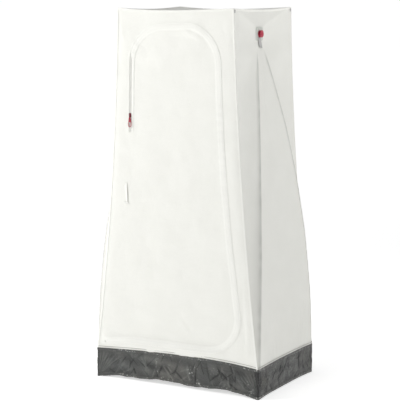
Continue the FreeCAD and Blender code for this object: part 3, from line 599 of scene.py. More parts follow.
def point_normals(points, faces):
    """A unit normal for each point of a surface whose faces all have as many corners."""
    faces = np.asarray(faces)
    corners = points[faces]
    face_normals = np.cross(corners[:, 2] - corners[:, 0], corners[:, -1] - corners[:, 1])
    if faces.shape[1] == 3:
        face_normals = np.cross(corners[:, 1] - corners[:, 0], corners[:, 2] - corners[:, 0])
    normals = np.zeros_like(points)
    for corner in faces.T:
        np.add.at(normals, corner, face_normals)
    length = np.linalg.norm(normals, axis=1)
    return normals / np.where(length > 0, length, 1)[:, None]


def thickened(points, faces, thickness):
    """The surface, a copy of it that far behind, and a rim that closes the two."""
    faces = np.asarray(faces)
    behind = points - point_normals(points, faces) * thickness
    count = len(points)
    edges = np.stack([faces, np.roll(faces, -1, axis=1)], axis=-1).reshape(-1, 2)
    keys = edges[:, 0] * count + edges[:, 1]
    open_edges = edges[~np.isin(edges[:, 1] * count + edges[:, 0], keys)]
    a, b = open_edges.T
    rim = np.stack([b, a, count + a, count + b], axis=1)
    closed = [*faces.tolist(), *(faces[:, ::-1] + count).tolist(), *rim.tolist()]
    return np.vstack([points, behind]), closed


def grid_faces(rows, columns, flip, closed):
    """Quads over a grid of points. A closed grid joins its last row to its first."""
    faces = []
    for i in range(rows if closed else rows - 1):
        j = (i + 1) % rows
        for k in range(columns - 1):
            face = [i * columns + k, j * columns + k, j * columns + k + 1, i * columns + k + 1]
            faces.append(face[::-1] if flip else face)
    return faces


def sheet_part(grid, places, thickness, flip=False, closed=False):
    """A grid of points as thin cloth: its points, faces and places, outside first. The outside
    is the side that row step cross column step points to."""
    rows, columns = grid.shape[:2]
    points, faces = thickened(grid.reshape(-1, 3), grid_faces(rows, columns, flip, closed), thickness)
    return points, faces, np.vstack([places.reshape(-1, 2)] * 2)


def cloth(name, grid, places, finish, thickness=CLOTH, flip=False, closed=False, painted_shading_and_grey=None):
    """A thin cloth piece over a grid of points."""
    points, faces, places = sheet_part(grid, places, thickness, flip, closed)
    if painted_shading_and_grey is not None:
        painted_shading_and_grey = np.concatenate([painted_shading_and_grey.ravel()] * 2)
    return add_piece(name, points, faces, finish, places, painted_shading_and_grey)


def ribbon(line, outward, near, far, point_at, out, crown=0.0):
    """A grid along a line on a panel, from near to far across it, and its places on the cloth."""
    steps = 4
    outward = np.broadcast_to(outward, line.shape)
    near = np.broadcast_to(near, len(line))[:, None]
    offsets = near + (far - near) * np.linspace(0, 1, steps)
    flat = line[:, None] + outward[:, None] * offsets[..., None]
    lift = out + crown * (1 - np.linspace(-1, 1, steps) ** 2)
    return on_panel(point_at, flat, lift), paired(distances(line)[:, None], offsets)


def joined(name, parts, finish):
    """Several surfaces as one piece. Each part is points, faces and places."""
    points, faces, places, count = [], [], [], 0
    for part_points, part_faces, part_places in parts:
        points.append(part_points)
        places.append(part_places)
        faces += [[count + i for i in face] for face in part_faces]
        count += len(part_points)
    return add_piece(name, np.vstack(points), faces, finish, np.vstack(places))


def strips(name, ribbons, finish, thickness=CLOTH):
    """Thin strips of cloth as one piece, from ribbons that may each be flipped."""
    return joined(name, [sheet_part(*strip, thickness, flip) for strip, flip in ribbons], finish)


def stitches(name, paths, finish):
    """Thread along paths of points on a panel: one tapered bead for each stitch."""
    parts = []
    for path in paths:
        travelled = distances(path)
        middle = (np.arange(int(travelled[-1] / STITCH_PITCH)) + 0.5) * STITCH_PITCH
        half = STITCH_SHARE * STITCH_PITCH / 2
        first, centre, last = (rows_at(middle + k * half, travelled, path) for k in (-1, 0, 1))
        ahead = last - first
        side = np.cross(ahead, ANY_WAY)
        side /= np.linalg.norm(side, axis=1)[:, None]
        up = np.cross(ahead, side)
        up /= np.linalg.norm(up, axis=1)[:, None]
        ring = [centre + THREAD_RADIUS * way for way in (side, up, -side, -up)]
        points = np.stack([first, *ring, last], axis=1).reshape(-1, 3)
        bead = [[0, 1 + (k + 1) % 4, 1 + k] for k in range(4)]
        bead += [[5, 1 + k, 1 + (k + 1) % 4] for k in range(4)]
        faces = (np.arange(len(middle))[:, None, None] * 6 + np.array(bead)).reshape(-1, 3)
        parts.append((points, faces.tolist(), np.repeat(middle, 6)[:, None] * (1.0, 1.0)))
    return joined(name, parts, finish)


def inside(outline, points):
    """Which points lie inside a closed outline, by counting crossings."""
    found = np.zeros(len(points), bool)
    for a, b in zip(outline, np.roll(outline, -1, axis=0)):
        spans = (a[1] > points[:, 1]) != (b[1] > points[:, 1])
        rise = b[1] - a[1] if b[1] != a[1] else 1.0
        at = a[0] + (points[:, 1] - a[1]) / rise * (b[0] - a[0])
        found ^= spans & (points[:, 0] < at)
    return found


def within(loops, points):
    """Which points lie inside the first loop and outside the others."""
    kept = inside(loops[0], points)
    for hole in loops[1:]:
        kept &= ~inside(hole, points)
    return kept


def farther(tree, points, distance):
    """Which points are farther than a distance from those in a search tree."""
    return np.array([tree.find((x, z, 0))[2] > distance for x, z in points])


def turned_areas(flat, triangles):
    """Twice each triangle's area, negative where it turns clockwise."""
    a, b, c = (flat[triangles[:, k]] for k in range(3))
    return (b[:, 0] - a[:, 0]) * (c[:, 1] - a[:, 1]) - (b[:, 1] - a[:, 1]) * (c[:, 0] - a[:, 0])


def filled(outline, holes, spacing, rows):
    """Triangles over an outline with holes, from rows of points and a grid between them."""
    loops = [outline, *holes]
    edge_points, rows = np.vstack(loops), np.vstack(rows)
    low, high = edge_points.min(axis=0), edge_points.max(axis=0)
    columns = np.arange(low[0], high[0], spacing)
    levels = np.arange(low[1], high[1], spacing * 0.9)
    grid = np.array([(x + spacing / 2 * (k % 2), z) for k, z in enumerate(levels) for x in columns])
    edge_tree, row_tree = search_tree(edge_points), search_tree(rows)
    rows, grid = (points[within(loops, points) & farther(edge_tree, points, spacing * 0.35)]
                  for points in (rows, grid))
    points = np.vstack([edge_points, rows, grid[farther(row_tree, grid, spacing * 0.45)]])
    edges, start = [], 0
    for loop in loops:
        count = len(loop)
        edges += [(start + k, start + (k + 1) % count) for k in range(count)]
        start += count
    found = delaunay_2d_cdt([Vector(p) for p in points], edges, [], 0, 1e-7)
    flat = np.array([tuple(v) for v in found[0]])
    triangles = np.array([tuple(face) for face in found[2]])
    clockwise = turned_areas(flat, triangles) < 0
    triangles[clockwise] = triangles[clockwise][:, ::-1]
    return flat, triangles[within(loops, flat[triangles].mean(axis=1))].tolist()


# ---- Materials -----------------------------------------------------------------------------
def node(tree, kind, inputs=(), **settings):
    """A shader node with its settings made and its inputs set or linked, by name or number."""
    made = tree.nodes.new(kind)
    for name, value in settings.items():
        setattr(made, name, value)
    for name, value in dict(inputs).items():
        if isinstance(value, bpy.types.NodeSocket):
            tree.links.new(value, made.inputs[name])
        else:
            made.inputs[name].default_value = value
    return made


def new_finish(name, roughness, metallic=0.0, sheen=0.0, specular=0.5):
    finish = bpy.data.materials.new(name)
    finish.use_nodes = True
    shader = finish.node_tree.nodes["Principled BSDF"]
    shader.inputs["Roughness"].default_value = roughness
    shader.inputs["Metallic"].default_value = metallic
    shader.inputs["Specular IOR Level"].default_value = specular
    shader.inputs["Sheen Weight"].default_value = sheen
    shader.inputs["Sheen Roughness"].default_value = 0.5
    return finish, finish.node_tree, shader


def ramp(tree, value, low, high, to_low=0.0, to_high=1.0):
    """The value, rescaled and clamped."""
    return node(tree, "ShaderNodeMapRange",
                {"Value": value, 1: low, 2: high, 3: to_low, 4: to_high}).outputs[0]


def reckoned(tree, operation, *values):
    inputs = dict(enumerate(values))
    return node(tree, "ShaderNodeMath", inputs, operation=operation).outputs[0]


def mixed(tree, share, first, second, blend="MIX"):
    """A blend of two colours."""
    return node(tree, "ShaderNodeMix", {0: share, 6: first, 7: second},
                data_type="RGBA", blend_type=blend).outputs[2]


def noise(tree, place, scale, detail, roughness=0.5):
    inputs = {"Vector": place, "Scale": scale, "Detail": detail, "Roughness": roughness}
    return node(tree, "ShaderNodeTexNoise", inputs).outputs["Fac"]


def mottled(tree, place, dark, light, scale, detail=5.0):
    """A colour that drifts between two shades over the surface."""
    return mixed(tree, noise(tree, place, scale, detail), (*dark, 1), (*light, 1))


def flat_place(tree):
    return node(tree, "ShaderNodeAttribute", attribute_name="flat_place").outputs["Vector"]


# the attribute that carries painted shading, and the welt's grey
def painted_shading_input(tree):
    return node(tree, "ShaderNodeAttribute", attribute_name="painted_shading_and_grey").outputs["Fac"]


def wire(tree, shader, colour, rough, normal):
    for name, socket in (("Base Color", colour), ("Roughness", rough), ("Normal", normal)):
        tree.links.new(socket, shader.inputs[name])


def threads(tree, place, pitch):
    """The height of a plain weave: two sets of threads that cross."""
    split = node(tree, "ShaderNodeSeparateXYZ", {"Vector": place})
    waves = []
    for axis in ("X", "Y"):
        turns = reckoned(tree, "MULTIPLY", split.outputs[axis], math.tau / pitch)
        waves.append(reckoned(tree, "SINE", turns))
    return reckoned(tree, "ADD", *waves)


def bumped(tree, height, distance, below=None):
    inputs = {"Height": height, "Distance": distance, "Strength": 1.0}
    if below is not None:
        inputs["Normal"] = below
    return node(tree, "ShaderNodeBump", inputs).outputs["Normal"]


def woven_finish(name, dark, light, pitch, roughness, depth, crumple_depth):
    """Woven cloth: threads, faint uneven shade, and fine handling creases."""
    finish, tree, shader = new_finish(name, roughness, sheen=0.15, specular=0.3)
    place = flat_place(tree)
    weave = threads(tree, place, pitch)
    fine = reckoned(tree, "MULTIPLY_ADD", weave, 0.5, 0.5)
    toned = mixed(tree, 0.10, mottled(tree, place, dark, light, 7.0), fine, "OVERLAY")
    grey = (*(0.5 * channel for channel in dark), 1)
    grain = noise(tree, place, 55.0, 3.0)
    rough = ramp(tree, grain, 0, 1, roughness - 0.08, roughness + 0.08)
    handled = bumped(tree, noise(tree, place, 16.0, 7.0, 0.58), crumple_depth)
    normal = bumped(tree, weave, depth, below=handled)
    # greyed by the attribute: painted shade on the side walls, and the welt's grey
    wire(tree, shader, mixed(tree, painted_shading_input(tree), toned, grey), rough, normal)
    return finish


def tub_finish():
    """Coated woven polyethylene: flat tapes, soft shine, pale creases, pale flecks that are partly
    painted glints and partly scuffing, most of all at its foot, and painted shade and painted
    highlight from its folds and corners.
    """
    finish, tree, shader = new_finish("tub_sheet", 0.40, specular=0.6)
    dark, light = (0.021, 0.033, 0.038), (0.108, 0.099, 0.082)
    pale_grey, scuff_and_glint_grey = (0.20, 0.205, 0.20, 1), (0.40, 0.40, 0.38, 1)
    place = flat_place(tree)
    folds = noise(tree, place, 24.0, 6.0, 0.6)
    slanted = node(tree, "ShaderNodeMapping",
                   {"Vector": place, "Rotation": (0, 0, 0.9), "Scale": (1, 3.6, 1)})
    streaks = noise(tree, slanted.outputs[0], 15.0, 4.0, 0.7)
    pale = reckoned(tree, "MULTIPLY", ramp(tree, streaks, 0.60, 0.74), 0.5)
    lined = mixed(tree, pale, mottled(tree, place, dark, light, 3.4, detail=6.0), pale_grey)
    # pale flecks: painted glints, and scuffing that gathers at the foot
    flecks = node(tree, "ShaderNodeTexVoronoi", {"Vector": place, "Scale": 75.0})
    height = node(tree, "ShaderNodeSeparateXYZ", {"Vector": place}).outputs["Y"]
    at_foot = ramp(tree, height, 0.026, 0.004, 0.0, 0.16)
    scatter = reckoned(tree, "ADD", noise(tree, place, 9.0, 4.0), at_foot)
    scuffs_and_glints = reckoned(tree, "MULTIPLY", ramp(tree, scatter, 0.56, 0.66),
                      ramp(tree, flecks.outputs["Distance"], 0.40, 0.15))
    scuffed_and_glinting = mixed(tree, scuffs_and_glints, lined, scuff_and_glint_grey)
    # painted highlight on crests, painted shade in valleys and beside the corners
    painted_shading_tone = ramp(tree, painted_shading_input(tree), 0.0, 1.0, 1.95, 0.0)
    handled = bumped(tree, streaks, 0.010, below=bumped(tree, folds, 0.012))
    normal = bumped(tree, threads(tree, place, 0.0024), 0.0001, below=handled)
    wire(tree, shader, mixed(tree, 1.0, scuffed_and_glinting, painted_shading_tone, "MULTIPLY"),
         ramp(tree, folds, 0.0, 1.0, 0.28, 0.52), normal)
    return finish


def moulded_finish(name, dark, light, roughness, grain_scale, grain_depth, coat=0.0):
    """Moulded plastic, lacquer or rubber: a fine grain, and a shade that is never quite even."""
    finish, tree, shader = new_finish(name, roughness)
    place = node(tree, "ShaderNodeTexCoord").outputs["Object"]
    grain = noise(tree, place, grain_scale, 4.0)
    shader.inputs["Coat Weight"].default_value = coat
    shader.inputs["Coat Roughness"].default_value = 0.12
    wire(tree, shader, mottled(tree, place, dark, light, 60.0),
         ramp(tree, grain, 0, 1, roughness - 0.06, roughness + 0.10),
         bumped(tree, grain, grain_depth))
    return finish


def drawn_finish(name, dark, light, roughness, metallic=1.0, streak=(1, 1, 0.06)):
    """A drawn tube or worked metal: fine streaks along its length."""
    finish, tree, shader = new_finish(name, roughness, metallic=metallic)
    place = node(tree, "ShaderNodeTexCoord").outputs["Object"]
    stretched = node(tree, "ShaderNodeMapping", {"Vector": place, "Scale": streak})
    lines = noise(tree, stretched.outputs[0], 900.0, 5.0)
    wire(tree, shader, mixed(tree, lines, (*dark, 1), (*light, 1)),
         ramp(tree, lines, 0, 1, roughness - 0.08, roughness + 0.12),
         bumped(tree, lines, 0.00005))
    return finish


WHITE_WEAVE, FINE_WEAVE = 0.0011, 0.0006     # metres from thread to thread
CABIN = woven_finish("cabin_polyester", (0.80, 0.80, 0.752), (0.86, 0.86, 0.815),
                     WHITE_WEAVE, 0.80, 0.00005, 0.0020)
HEM = woven_finish("cabin_hem", (0.84, 0.84, 0.795), (0.90, 0.90, 0.855),
                   WHITE_WEAVE, 0.78, 0.00005, 0.0008)
TUB = tub_finish()
PATCH = woven_finish("patch_cloth", (0.60, 0.63, 0.58), (0.69, 0.72, 0.67),
                     0.0014, 0.85, 0.0001, 0.0008)
WEBBING = woven_finish("webbing_grey", (0.49, 0.49, 0.48), (0.59, 0.59, 0.58),
                       0.0020, 0.82, 0.0002, 0.0004)
ZIP_TAPE = woven_finish("zip_tape_cloth", (0.86, 0.86, 0.82), (0.92, 0.92, 0.88),
                        0.0009, 0.80, 0.00006, 0.0003)
THREAD = woven_finish("sewing_thread", (0.62, 0.62, 0.59), (0.74, 0.74, 0.71),
                      FINE_WEAVE, 0.60, 0.00004, 0.0001)
DARK_THREAD = woven_finish("tub_thread", (0.20, 0.20, 0.20), (0.32, 0.32, 0.31),
                           FINE_WEAVE, 0.60, 0.00004, 0.0001)
ZIP_COIL = moulded_finish("zip_nylon", (0.84, 0.84, 0.80), (0.92, 0.92, 0.88),
                          0.42, 400, 0.00003)
LACQUER = moulded_finish("slider_lacquer", (0.13, 0.004, 0.016), (0.21, 0.008, 0.028),
                         0.30, 350, 0.00003, coat=0.6)
PULL = moulded_finish("pull_red", (0.34, 0.010, 0.028), (0.44, 0.018, 0.042),
                      0.34, 500, 0.00004, coat=0.3)
BUTTON = moulded_finish("button_red", (0.40, 0.010, 0.040), (0.52, 0.018, 0.060),
                        0.36, 500, 0.00004, coat=0.25)
TOGGLE = moulded_finish("toggle_white", (0.76, 0.76, 0.73), (0.86, 0.86, 0.83),
                        0.45, 500, 0.00004)
HUB = moulded_finish("hub_nylon", (0.030, 0.030, 0.033), (0.055, 0.055, 0.060),
                     0.55, 700, 0.0001)
RUBBER = moulded_finish("cap_rubber", (0.016, 0.016, 0.016), (0.034, 0.034, 0.034),
                        0.70, 600, 0.00008)
CORD = moulded_finish("elastic_braid", (0.55, 0.55, 0.53), (0.75, 0.75, 0.72),
                      0.75, 1500, 0.0002)
FIBREGLASS = drawn_finish("fibreglass", (0.060, 0.064, 0.068), (0.12, 0.125, 0.13),
                          0.35, metallic=0.0)
ALUMINIUM = drawn_finish("aluminium", (0.55, 0.56, 0.57), (0.72, 0.73, 0.74),
                         0.36, streak=(0.06, 1, 1))
STEEL = drawn_finish("zinc_steel", (0.42, 0.43, 0.44), (0.60, 0.60, 0.61), 0.38)
NICKEL = drawn_finish("nickel", (0.60, 0.60, 0.58), (0.74, 0.73, 0.71), 0.22, streak=(1, 1, 1))

SIGNS = {"left": -1, "right": 1}
SIDES = tuple(SIGNS)
ENDS = ("front", "back")
PANELS = ("left", "right", "top", "foot")
KEPT_FINISHES = {
    **{f"hub_{side}": HUB for side in SIDES},
    **{f"locking_button_{side}": BUTTON for side in SIDES},
    **{f"eyelet_{side}": NICKEL for side in SIDES},
    **{f"ridge_bar_{side}": ALUMINIUM for side in SIDES},
    **{f"roof_arm_{end}_{side}": FIBREGLASS for end in ENDS for side in SIDES},
    **{f"leg_{end}_{side}_{part}": FIBREGLASS for end in ENDS for side in SIDES
       for part in ("lower", "middle", "upper")},
    "ridge_bar_ferrule": ALUMINIUM,
    "leg_ferrules": STEEL,
    "shock_cords": CORD,
    "door_tie_toggle": TOGGLE,
    "foot_caps": RUBBER,
    "arm_tip_caps": RUBBER,
    "zip_slider": LACQUER,
    **{f"{face}_pull_tab": LACQUER for face in ("outer", "inner")},
    **{f"{face}_pull_grip": PULL for face in ("outer", "inner")},
}


def finish_kept_nodes():
    for name, finish in KEPT_FINISHES.items():
        kept = bpy.data.objects[name]
        kept.data.materials.clear()
        kept.data.materials.append(finish)


# ---- Front wall, door and zip --------------------------------------------------------------
HINGE_AHEAD = (HINGE_TOP - HINGE_BOTTOM) / np.linalg.norm(HINGE_TOP - HINGE_BOTTOM)
HINGE_ACROSS = np.array((HINGE_AHEAD[1], -HINGE_AHEAD[0]))


def hinge_x(z):
    """Where the door folds, at a height."""
    slope = (HINGE_TOP[0] - HINGE_BOTTOM[0]) / (HINGE_TOP[1] - HINGE_BOTTOM[1])
    return HINGE_BOTTOM[0] + (z - HINGE_BOTTOM[1]) * slope


def clear_of_hinge(points, clearance):
    """Which points are on the door's side of the hinge line, or level with its end or above."""
    above = points[:, 1] > HINGE_TOP[1] - 0.003
    return above | (points[:, 0] > hinge_x(points[:, 1]) + clearance)


def beside_zip(offset):
    """Points that far outside the zip's line (inside where negative), clear of the hinge line."""
    points = ZIP_LINE + ZIP_OUTWARD * offset
    return points[clear_of_hinge(points, 0.001)]


def hinge_points(low, high):
    z = np.linspace(low, high, int((high - low) / 0.010))
    return np.c_[hinge_x(z), z]


def front_outline():
    """The front wall's own edge, anticlockwise from the bottom left."""
    foot = TUB_TOP + SEWN_TO_TUB
    z = np.linspace(foot, HEIGHT, 180)
    right = np.c_[seam_half_width(z), z]
    x = np.linspace(-1, 1, 90)
    bottom = np.c_[x * seam_half_width(foot), tub_top_rise(np.zeros_like(x), x) - SEWN_TO_TUB]
    top = np.c_[-x * TOP_HALF, HEIGHT - end_sag(-x)]
    left = right[::-1] * (-1, 1)
    return np.vstack([bottom[:-1], right[:-1], top[:-1], left[:-1]])


def zip_rows(sign):
    """Rows of points beside the zip, so that the mesh follows its ridge."""
    return [beside_zip(sign * offset)[::2] for offset in ROWS_BESIDE_ZIP]


def panel_of(flat, face):
    """Which of the front wall's four panels a triangle belongs to."""
    x, z = flat[list(face)].mean(axis=0)
    if z > PANEL_CUTS[1]:
        return "top"
    if z < PANEL_CUTS[0]:
        return "foot"
    return "left" if x < 0 else "right"


def cut_size(flat):
    """Width and length of the rectangle of cloth that a shape is cut from, along its own run."""
    centred = flat - flat.mean(axis=0)
    axes = np.linalg.svd(centred, full_matrices=False)[2]
    length, width = np.ptp(centred @ axes.T, axis=0)
    return float(width), float(length)


def front_piece(name, flat, faces):
    """A cloth piece from some of the front's triangles, and its flat size and area."""
    used, own_faces = np.unique(faces, return_inverse=True)
    own, own_faces = flat[used], own_faces.reshape(-1, 3)
    points, closed = thickened(on_panel(front_point, own, 0.0), own_faces, CLOTH)
    piece = add_piece(name, points, closed, CABIN, np.vstack([own, own]))
    return piece, cut_size(own), float(0.5 * np.abs(turned_areas(own, own_faces)).sum())


def add_front():
    """The front wall's four panels and the door, cut along the zip and the hinge line."""
    hole_edge, leaf_edge = beside_zip(CLOTH_EDGE), beside_zip(-CLOTH_EDGE)
    low = min(hole_edge[-1, 1], leaf_edge[-1, 1])
    hole = np.vstack([hole_edge, hinge_points(low, ZIP_LINE[0, 1])])
    across = np.linspace(-1, 1, 100) * PANEL_CUT_REACH
    cuts = [paired(across, z) for z in PANEL_CUTS]
    flat, faces = filled(front_outline(), [hole], MESH_SPACING, [*zip_rows(1), *cuts])
    panels = {panel: [] for panel in PANELS}
    for face in faces:
        panels[panel_of(flat, face)].append(face)
    made = {name: front_piece(f"front_{name}_cloth", flat, own) for name, own in panels.items()}
    leaf = np.vstack([leaf_edge, hinge_points(leaf_edge[-1, 1], leaf_edge[0, 1])])
    flat, faces = filled(leaf, [], MESH_SPACING, zip_rows(-1))
    made["door"] = front_piece("door_cloth", flat, faces)
    return made


def zip_run(side):
    """The zip's line and outward direction where it runs beside the door, or in the doorway."""
    offset = ZIP_LINE + ZIP_OUTWARD * side * 0.004
    kept = clear_of_hinge(offset, 0.002 if side < 0 else 0.0)
    return ZIP_LINE[kept], ZIP_OUTWARD[kept], ZIP_T[kept]


def zip_teeth(name, side):
    """One side's row of coil teeth, which hook over the zip's centre line."""
    line, outward, travelled = zip_run(side)
    half_step = COIL_PITCH / 2
    low, high = COIL_OUT
    t = np.arange(travelled[0] + (0.0 if side < 0 else half_step), travelled[-1], COIL_PITCH)
    at, across = rows_at(t, travelled, line), rows_at(t, travelled, outward) * side
    ahead = np.stack([-across[:, 1], across[:, 0]], axis=-1) * 0.42 * half_step
    flat, lifts = [], []
    for reach, wide, tall in ((0.0004, 0.9, 0.55), (0.0012, 1.25, 1.0), (COIL_REACH, 0.85, 0.8)):
        for along, rise in ((-1, 0), (0, 1), (1, 0), (0, -1)):
            flat.append(at + across * reach + ahead * along * wide)
            lifts.append((low + high) / 2 + rise * tall * (high - low) / 2)
    flat = np.stack(flat, axis=1)
    points = on_panel(front_point, flat, np.array(lifts)).reshape(-1, 3)
    tooth = [[0, 1, 2, 3], [11, 10, 9, 8]]
    for ring in (0, 4):
        tooth += [[ring + k, ring + 4 + k, ring + 4 + (k + 1) % 4, ring + (k + 1) % 4]
                  for k in range(4)]
    tooth = np.array(tooth) if side > 0 else np.array(tooth)[:, ::-1]
    faces = (np.arange(len(t))[:, None, None] * 12 + tooth).reshape(-1, 4)
    return joined(name, [(points, faces.tolist(), flat.reshape(-1, 2))], ZIP_COIL)


def zip_strip(side, near, far, out, crown=0.0):
    line, outward, _ = zip_run(side)
    line, outward = line[::2], outward[::2]
    return ribbon(line, outward * side, near, far, front_point, out, crown=crown), side < 0


def stitched_beside_zip(side, offset):
    line, outward, _ = zip_run(side)
    return on_panel(front_point, line + outward * side * offset, SEAM_THREAD_OUT)


def flap_start():
    """Where the door's flap starts across the zip: past its centre line, but clear of the
    slider's straight run."""
    travelled = zip_run(-1)[2][::2]
    clear = smooth(0.38, 0.42, travelled)
    return (CLOTH_EDGE + 0.0012) * (1 - clear) - FLAP_REACH * clear


def add_zip():
    """Tapes, teeth, hems and their stitching: the doorway's and the door's."""
    made = {}
    edge = CLOTH_EDGE - HEM_LAP
    for word, side, near, hem, crown in (("doorway", 1, edge, WALL_HEM, 0.0005),
                                         ("door", -1, flap_start(), FLAP_WIDTH, 0.0006)):
        folds = [zip_strip(side, TAPE_GAP, TAPE_EDGE, TAPE_OUT[1]), zip_strip(side, *TAPE_COVER)]
        tape = strips(f"zip_tape_{word}_cloth", folds, ZIP_TAPE, TAPE_OUT[1] - TAPE_OUT[0])
        teeth = zip_teeth(f"zip_teeth_{word}", side)
        hem_strip = strips(f"zip_hem_{word}", [zip_strip(side, near, hem, HEM_OUT, crown)], HEM)
        rows = [stitched_beside_zip(side, place) for place in (edge + 0.003, hem - 0.002)]
        thread = stitches(f"zip_stitches_{word}", rows, THREAD)
        made[word] = (tape, teeth, hem_strip, thread)
    return made


# ---- The other panels ----------------------------------------------------------------------
def wall_heights(side, share, sag, steps):
    """Heights over a wall, from its foot on the tub to its sagging top edge."""
    low = (tub_top_rise(side, share) - SEWN_TO_TUB)[:, None]
    return low + (HEIGHT - sag[:, None] - low) * np.linspace(0, 1, steps)


def add_side(name, sign):
    share = np.linspace(-1, 1, 113)
    z = wall_heights(1, share, side_sag(share), 190)
    y = share[:, None] * seam_half_depth(z)
    # the side walls carry painted shade along their legs and round their hubs
    return cloth(name, side_point(sign, y, z), paired(y, z), CABIN, flip=sign < 0,
                 painted_shading_and_grey=side_painted_shade(y, z))


def add_back():
    share = np.linspace(-1, 1, 90)
    z = wall_heights(2, share, end_sag(share), 170)
    x = share[:, None] * seam_half_width(z)
    return cloth("back_cloth", back_point(x, z, 0.0), paired(x, z), CABIN, flip=True)


def roof_edge_x(y):
    """Half the roof's width at a depth, along the tops of the side walls."""
    return side_x(y, HEIGHT - side_sag(y / DEPTH_HALF))


def add_roof():
    """The roof hangs a little between its four corners."""
    u, v = np.meshgrid(np.linspace(-1, 1, 72), np.linspace(-1, 1, 66), indexing="ij")
    y = v * DEPTH_HALF
    x = u * roof_edge_x(y)
    z = HEIGHT - end_sag(u) - side_sag(v)
    z = z + 0.0015 * undulation(x, y, 0.20, 31) * (1 - u**2) * (1 - v**2)
    return cloth("roof_cloth", np.stack([x, y, z], axis=-1), paired(x, y), CABIN)


def add_seams():
    """The flat-felled corner seams, and the turned hem round the roof's edge."""
    parts, rows = [], []

    def sew(point_at, line, across, flip, shape):
        near, far, crown, stitched_at, thread_out = shape
        parts.append((ribbon(line, across, near, far, point_at, 0.0007, crown), flip))
        rows.append(on_panel(point_at, line + np.array(across) * stitched_at, thread_out))

    seam = (0.0, 0.009, 0.0007, 0.0065, 0.0015)
    hem = (-0.001, 0.011, 0.0006, 0.0085, 0.0014)
    down = (0.0, -1.0)
    z = np.linspace(TUB_TOP + 0.012, HEIGHT - 0.002, 190)
    for sign in (-1, 1):
        line = np.c_[sign * seam_half_width(z), z]
        sew(front_point, line, (-sign, 0.0), sign > 0, seam)
        sew(back_point, line, (-sign, 0.0), sign < 0, seam)
    x = np.linspace(-0.995, 0.995, 110)
    line = np.c_[x * TOP_HALF, HEIGHT - end_sag(x)]
    sew(front_point, line, down, True, hem)
    sew(back_point, line, down, False, hem)
    y = np.linspace(-0.995, 0.995, 100)
    line = np.c_[y * DEPTH_HALF, HEIGHT - side_sag(y)]
    for sign in (-1, 1):
        sew(partial(side_point, sign), line, down, sign > 0, hem)
    return strips("corner_and_roof_seams", parts, HEM), stitches("seam_stitches", rows, THREAD)


def corner_shade(t):
    """Painted shade on the tub's cloth beside each upright corner."""
    off = np.abs(t[:, None] - TUB_CORNERS * TUB_LENGTH / TUB_CORNERS[-1])
    return (0.52 * bell(off, 0.024) + 0.13 * bell(off, 0.30)) @ CORNER_PAINTED_SHADE


def tub_band(name, shares, steps, out, width, finish, painted_shading_and_grey, thickness=TUB_CLOTH):
    """A narrow band round the tub between two shares of its height."""
    t = TUB_T[:-1, None]
    grid = tub_point(t, np.linspace(*shares, steps), out)
    return cloth(name, grid, paired(t, np.linspace(0, width, steps)), finish, thickness,
                 closed=True, painted_shading_and_grey=np.full(grid.shape[:2], painted_shading_and_grey))


def add_tub():
    """The tub's wall as one band of coated cloth, its hems and its stitching."""
    t, share = np.broadcast_arrays(TUB_T[:-1, None], np.linspace(0, 1, 34))
    stand = tub_folds(t, share, around_tub(t)[5])
    # painted shading: lighter on the folds' crests, darker in their valleys and beside the corners
    valleys = np.clip(TUB_NEUTRAL - stand / 0.0040, 0, 1)
    painted_shading_and_grey = np.clip(valleys + corner_shade(TUB_T[:-1])[:, None], 0, 1)
    wall = cloth("tub_cloth", tub_point(t, share), paired(t, share * TUB_TOP), TUB, TUB_CLOTH,
                 closed=True, painted_shading_and_grey=painted_shading_and_grey)
    raised = 0.0006 * np.array((0, 1, 1, 0))
    top_hem = tub_band("tub_top_hem", TOP_HEM, 4, 0.0010 + raised, 0.014, TUB, TUB_NEUTRAL)
    low_hem = tub_band("tub_lower_hem", LOW_HEM, 4, 0.0009 + raised, 0.014, TUB, TUB_NEUTRAL)
    welt = tub_band("wall_foot_welt", WELT, 3, 0.0012 + 0.0004 * np.array((0, 1, 0)), 0.003,
                    CABIN, 0.85, CLOTH)
    on_tub = [tub_point(TUB_T[:-1], level, 0.0021) for level in (0.965, 0.070)]
    thread = stitches("tub_stitches", on_tub, DARK_THREAD)
    wall_thread = stitches("wall_foot_stitches", [tub_point(TUB_T[:-1], 1.055, 0.0022)], THREAD)
    return wall, top_hem, low_hem, thread, wall_thread, welt


def add_floor():
    """The floor sheet: level in the middle, rising to the tub's lifted hem."""
    rim = tub_point(TUB_T[:-1], 0.0)[:, None, :]
    inward = np.concatenate([np.linspace(0, 0.5, 26), np.linspace(0.55, 0.97, 10)])
    grid = rim + (np.array((0.0, 0.0, 0.0006)) - rim) * inward[:, None]
    from_rim = DEPTH_HALF * inward
    grid[..., 2] = 0.0008 + rim[..., 2] * (1 - smooth(0, 0.16, from_rim))
    waves = 1 + undulation(grid[..., 0], grid[..., 1], 0.16, 41)
    grid[..., 2] += 0.0016 * waves * smooth(0, 0.10, from_rim)
    middle = np.broadcast_to((0.0, 0.0, 0.003), rim.shape)
    grid = np.concatenate([grid, middle], axis=1)
    return cloth("floor_cloth", grid, grid[..., :2], TUB, TUB_CLOTH, closed=True,
                 painted_shading_and_grey=np.full(grid.shape[:2], TUB_NEUTRAL))


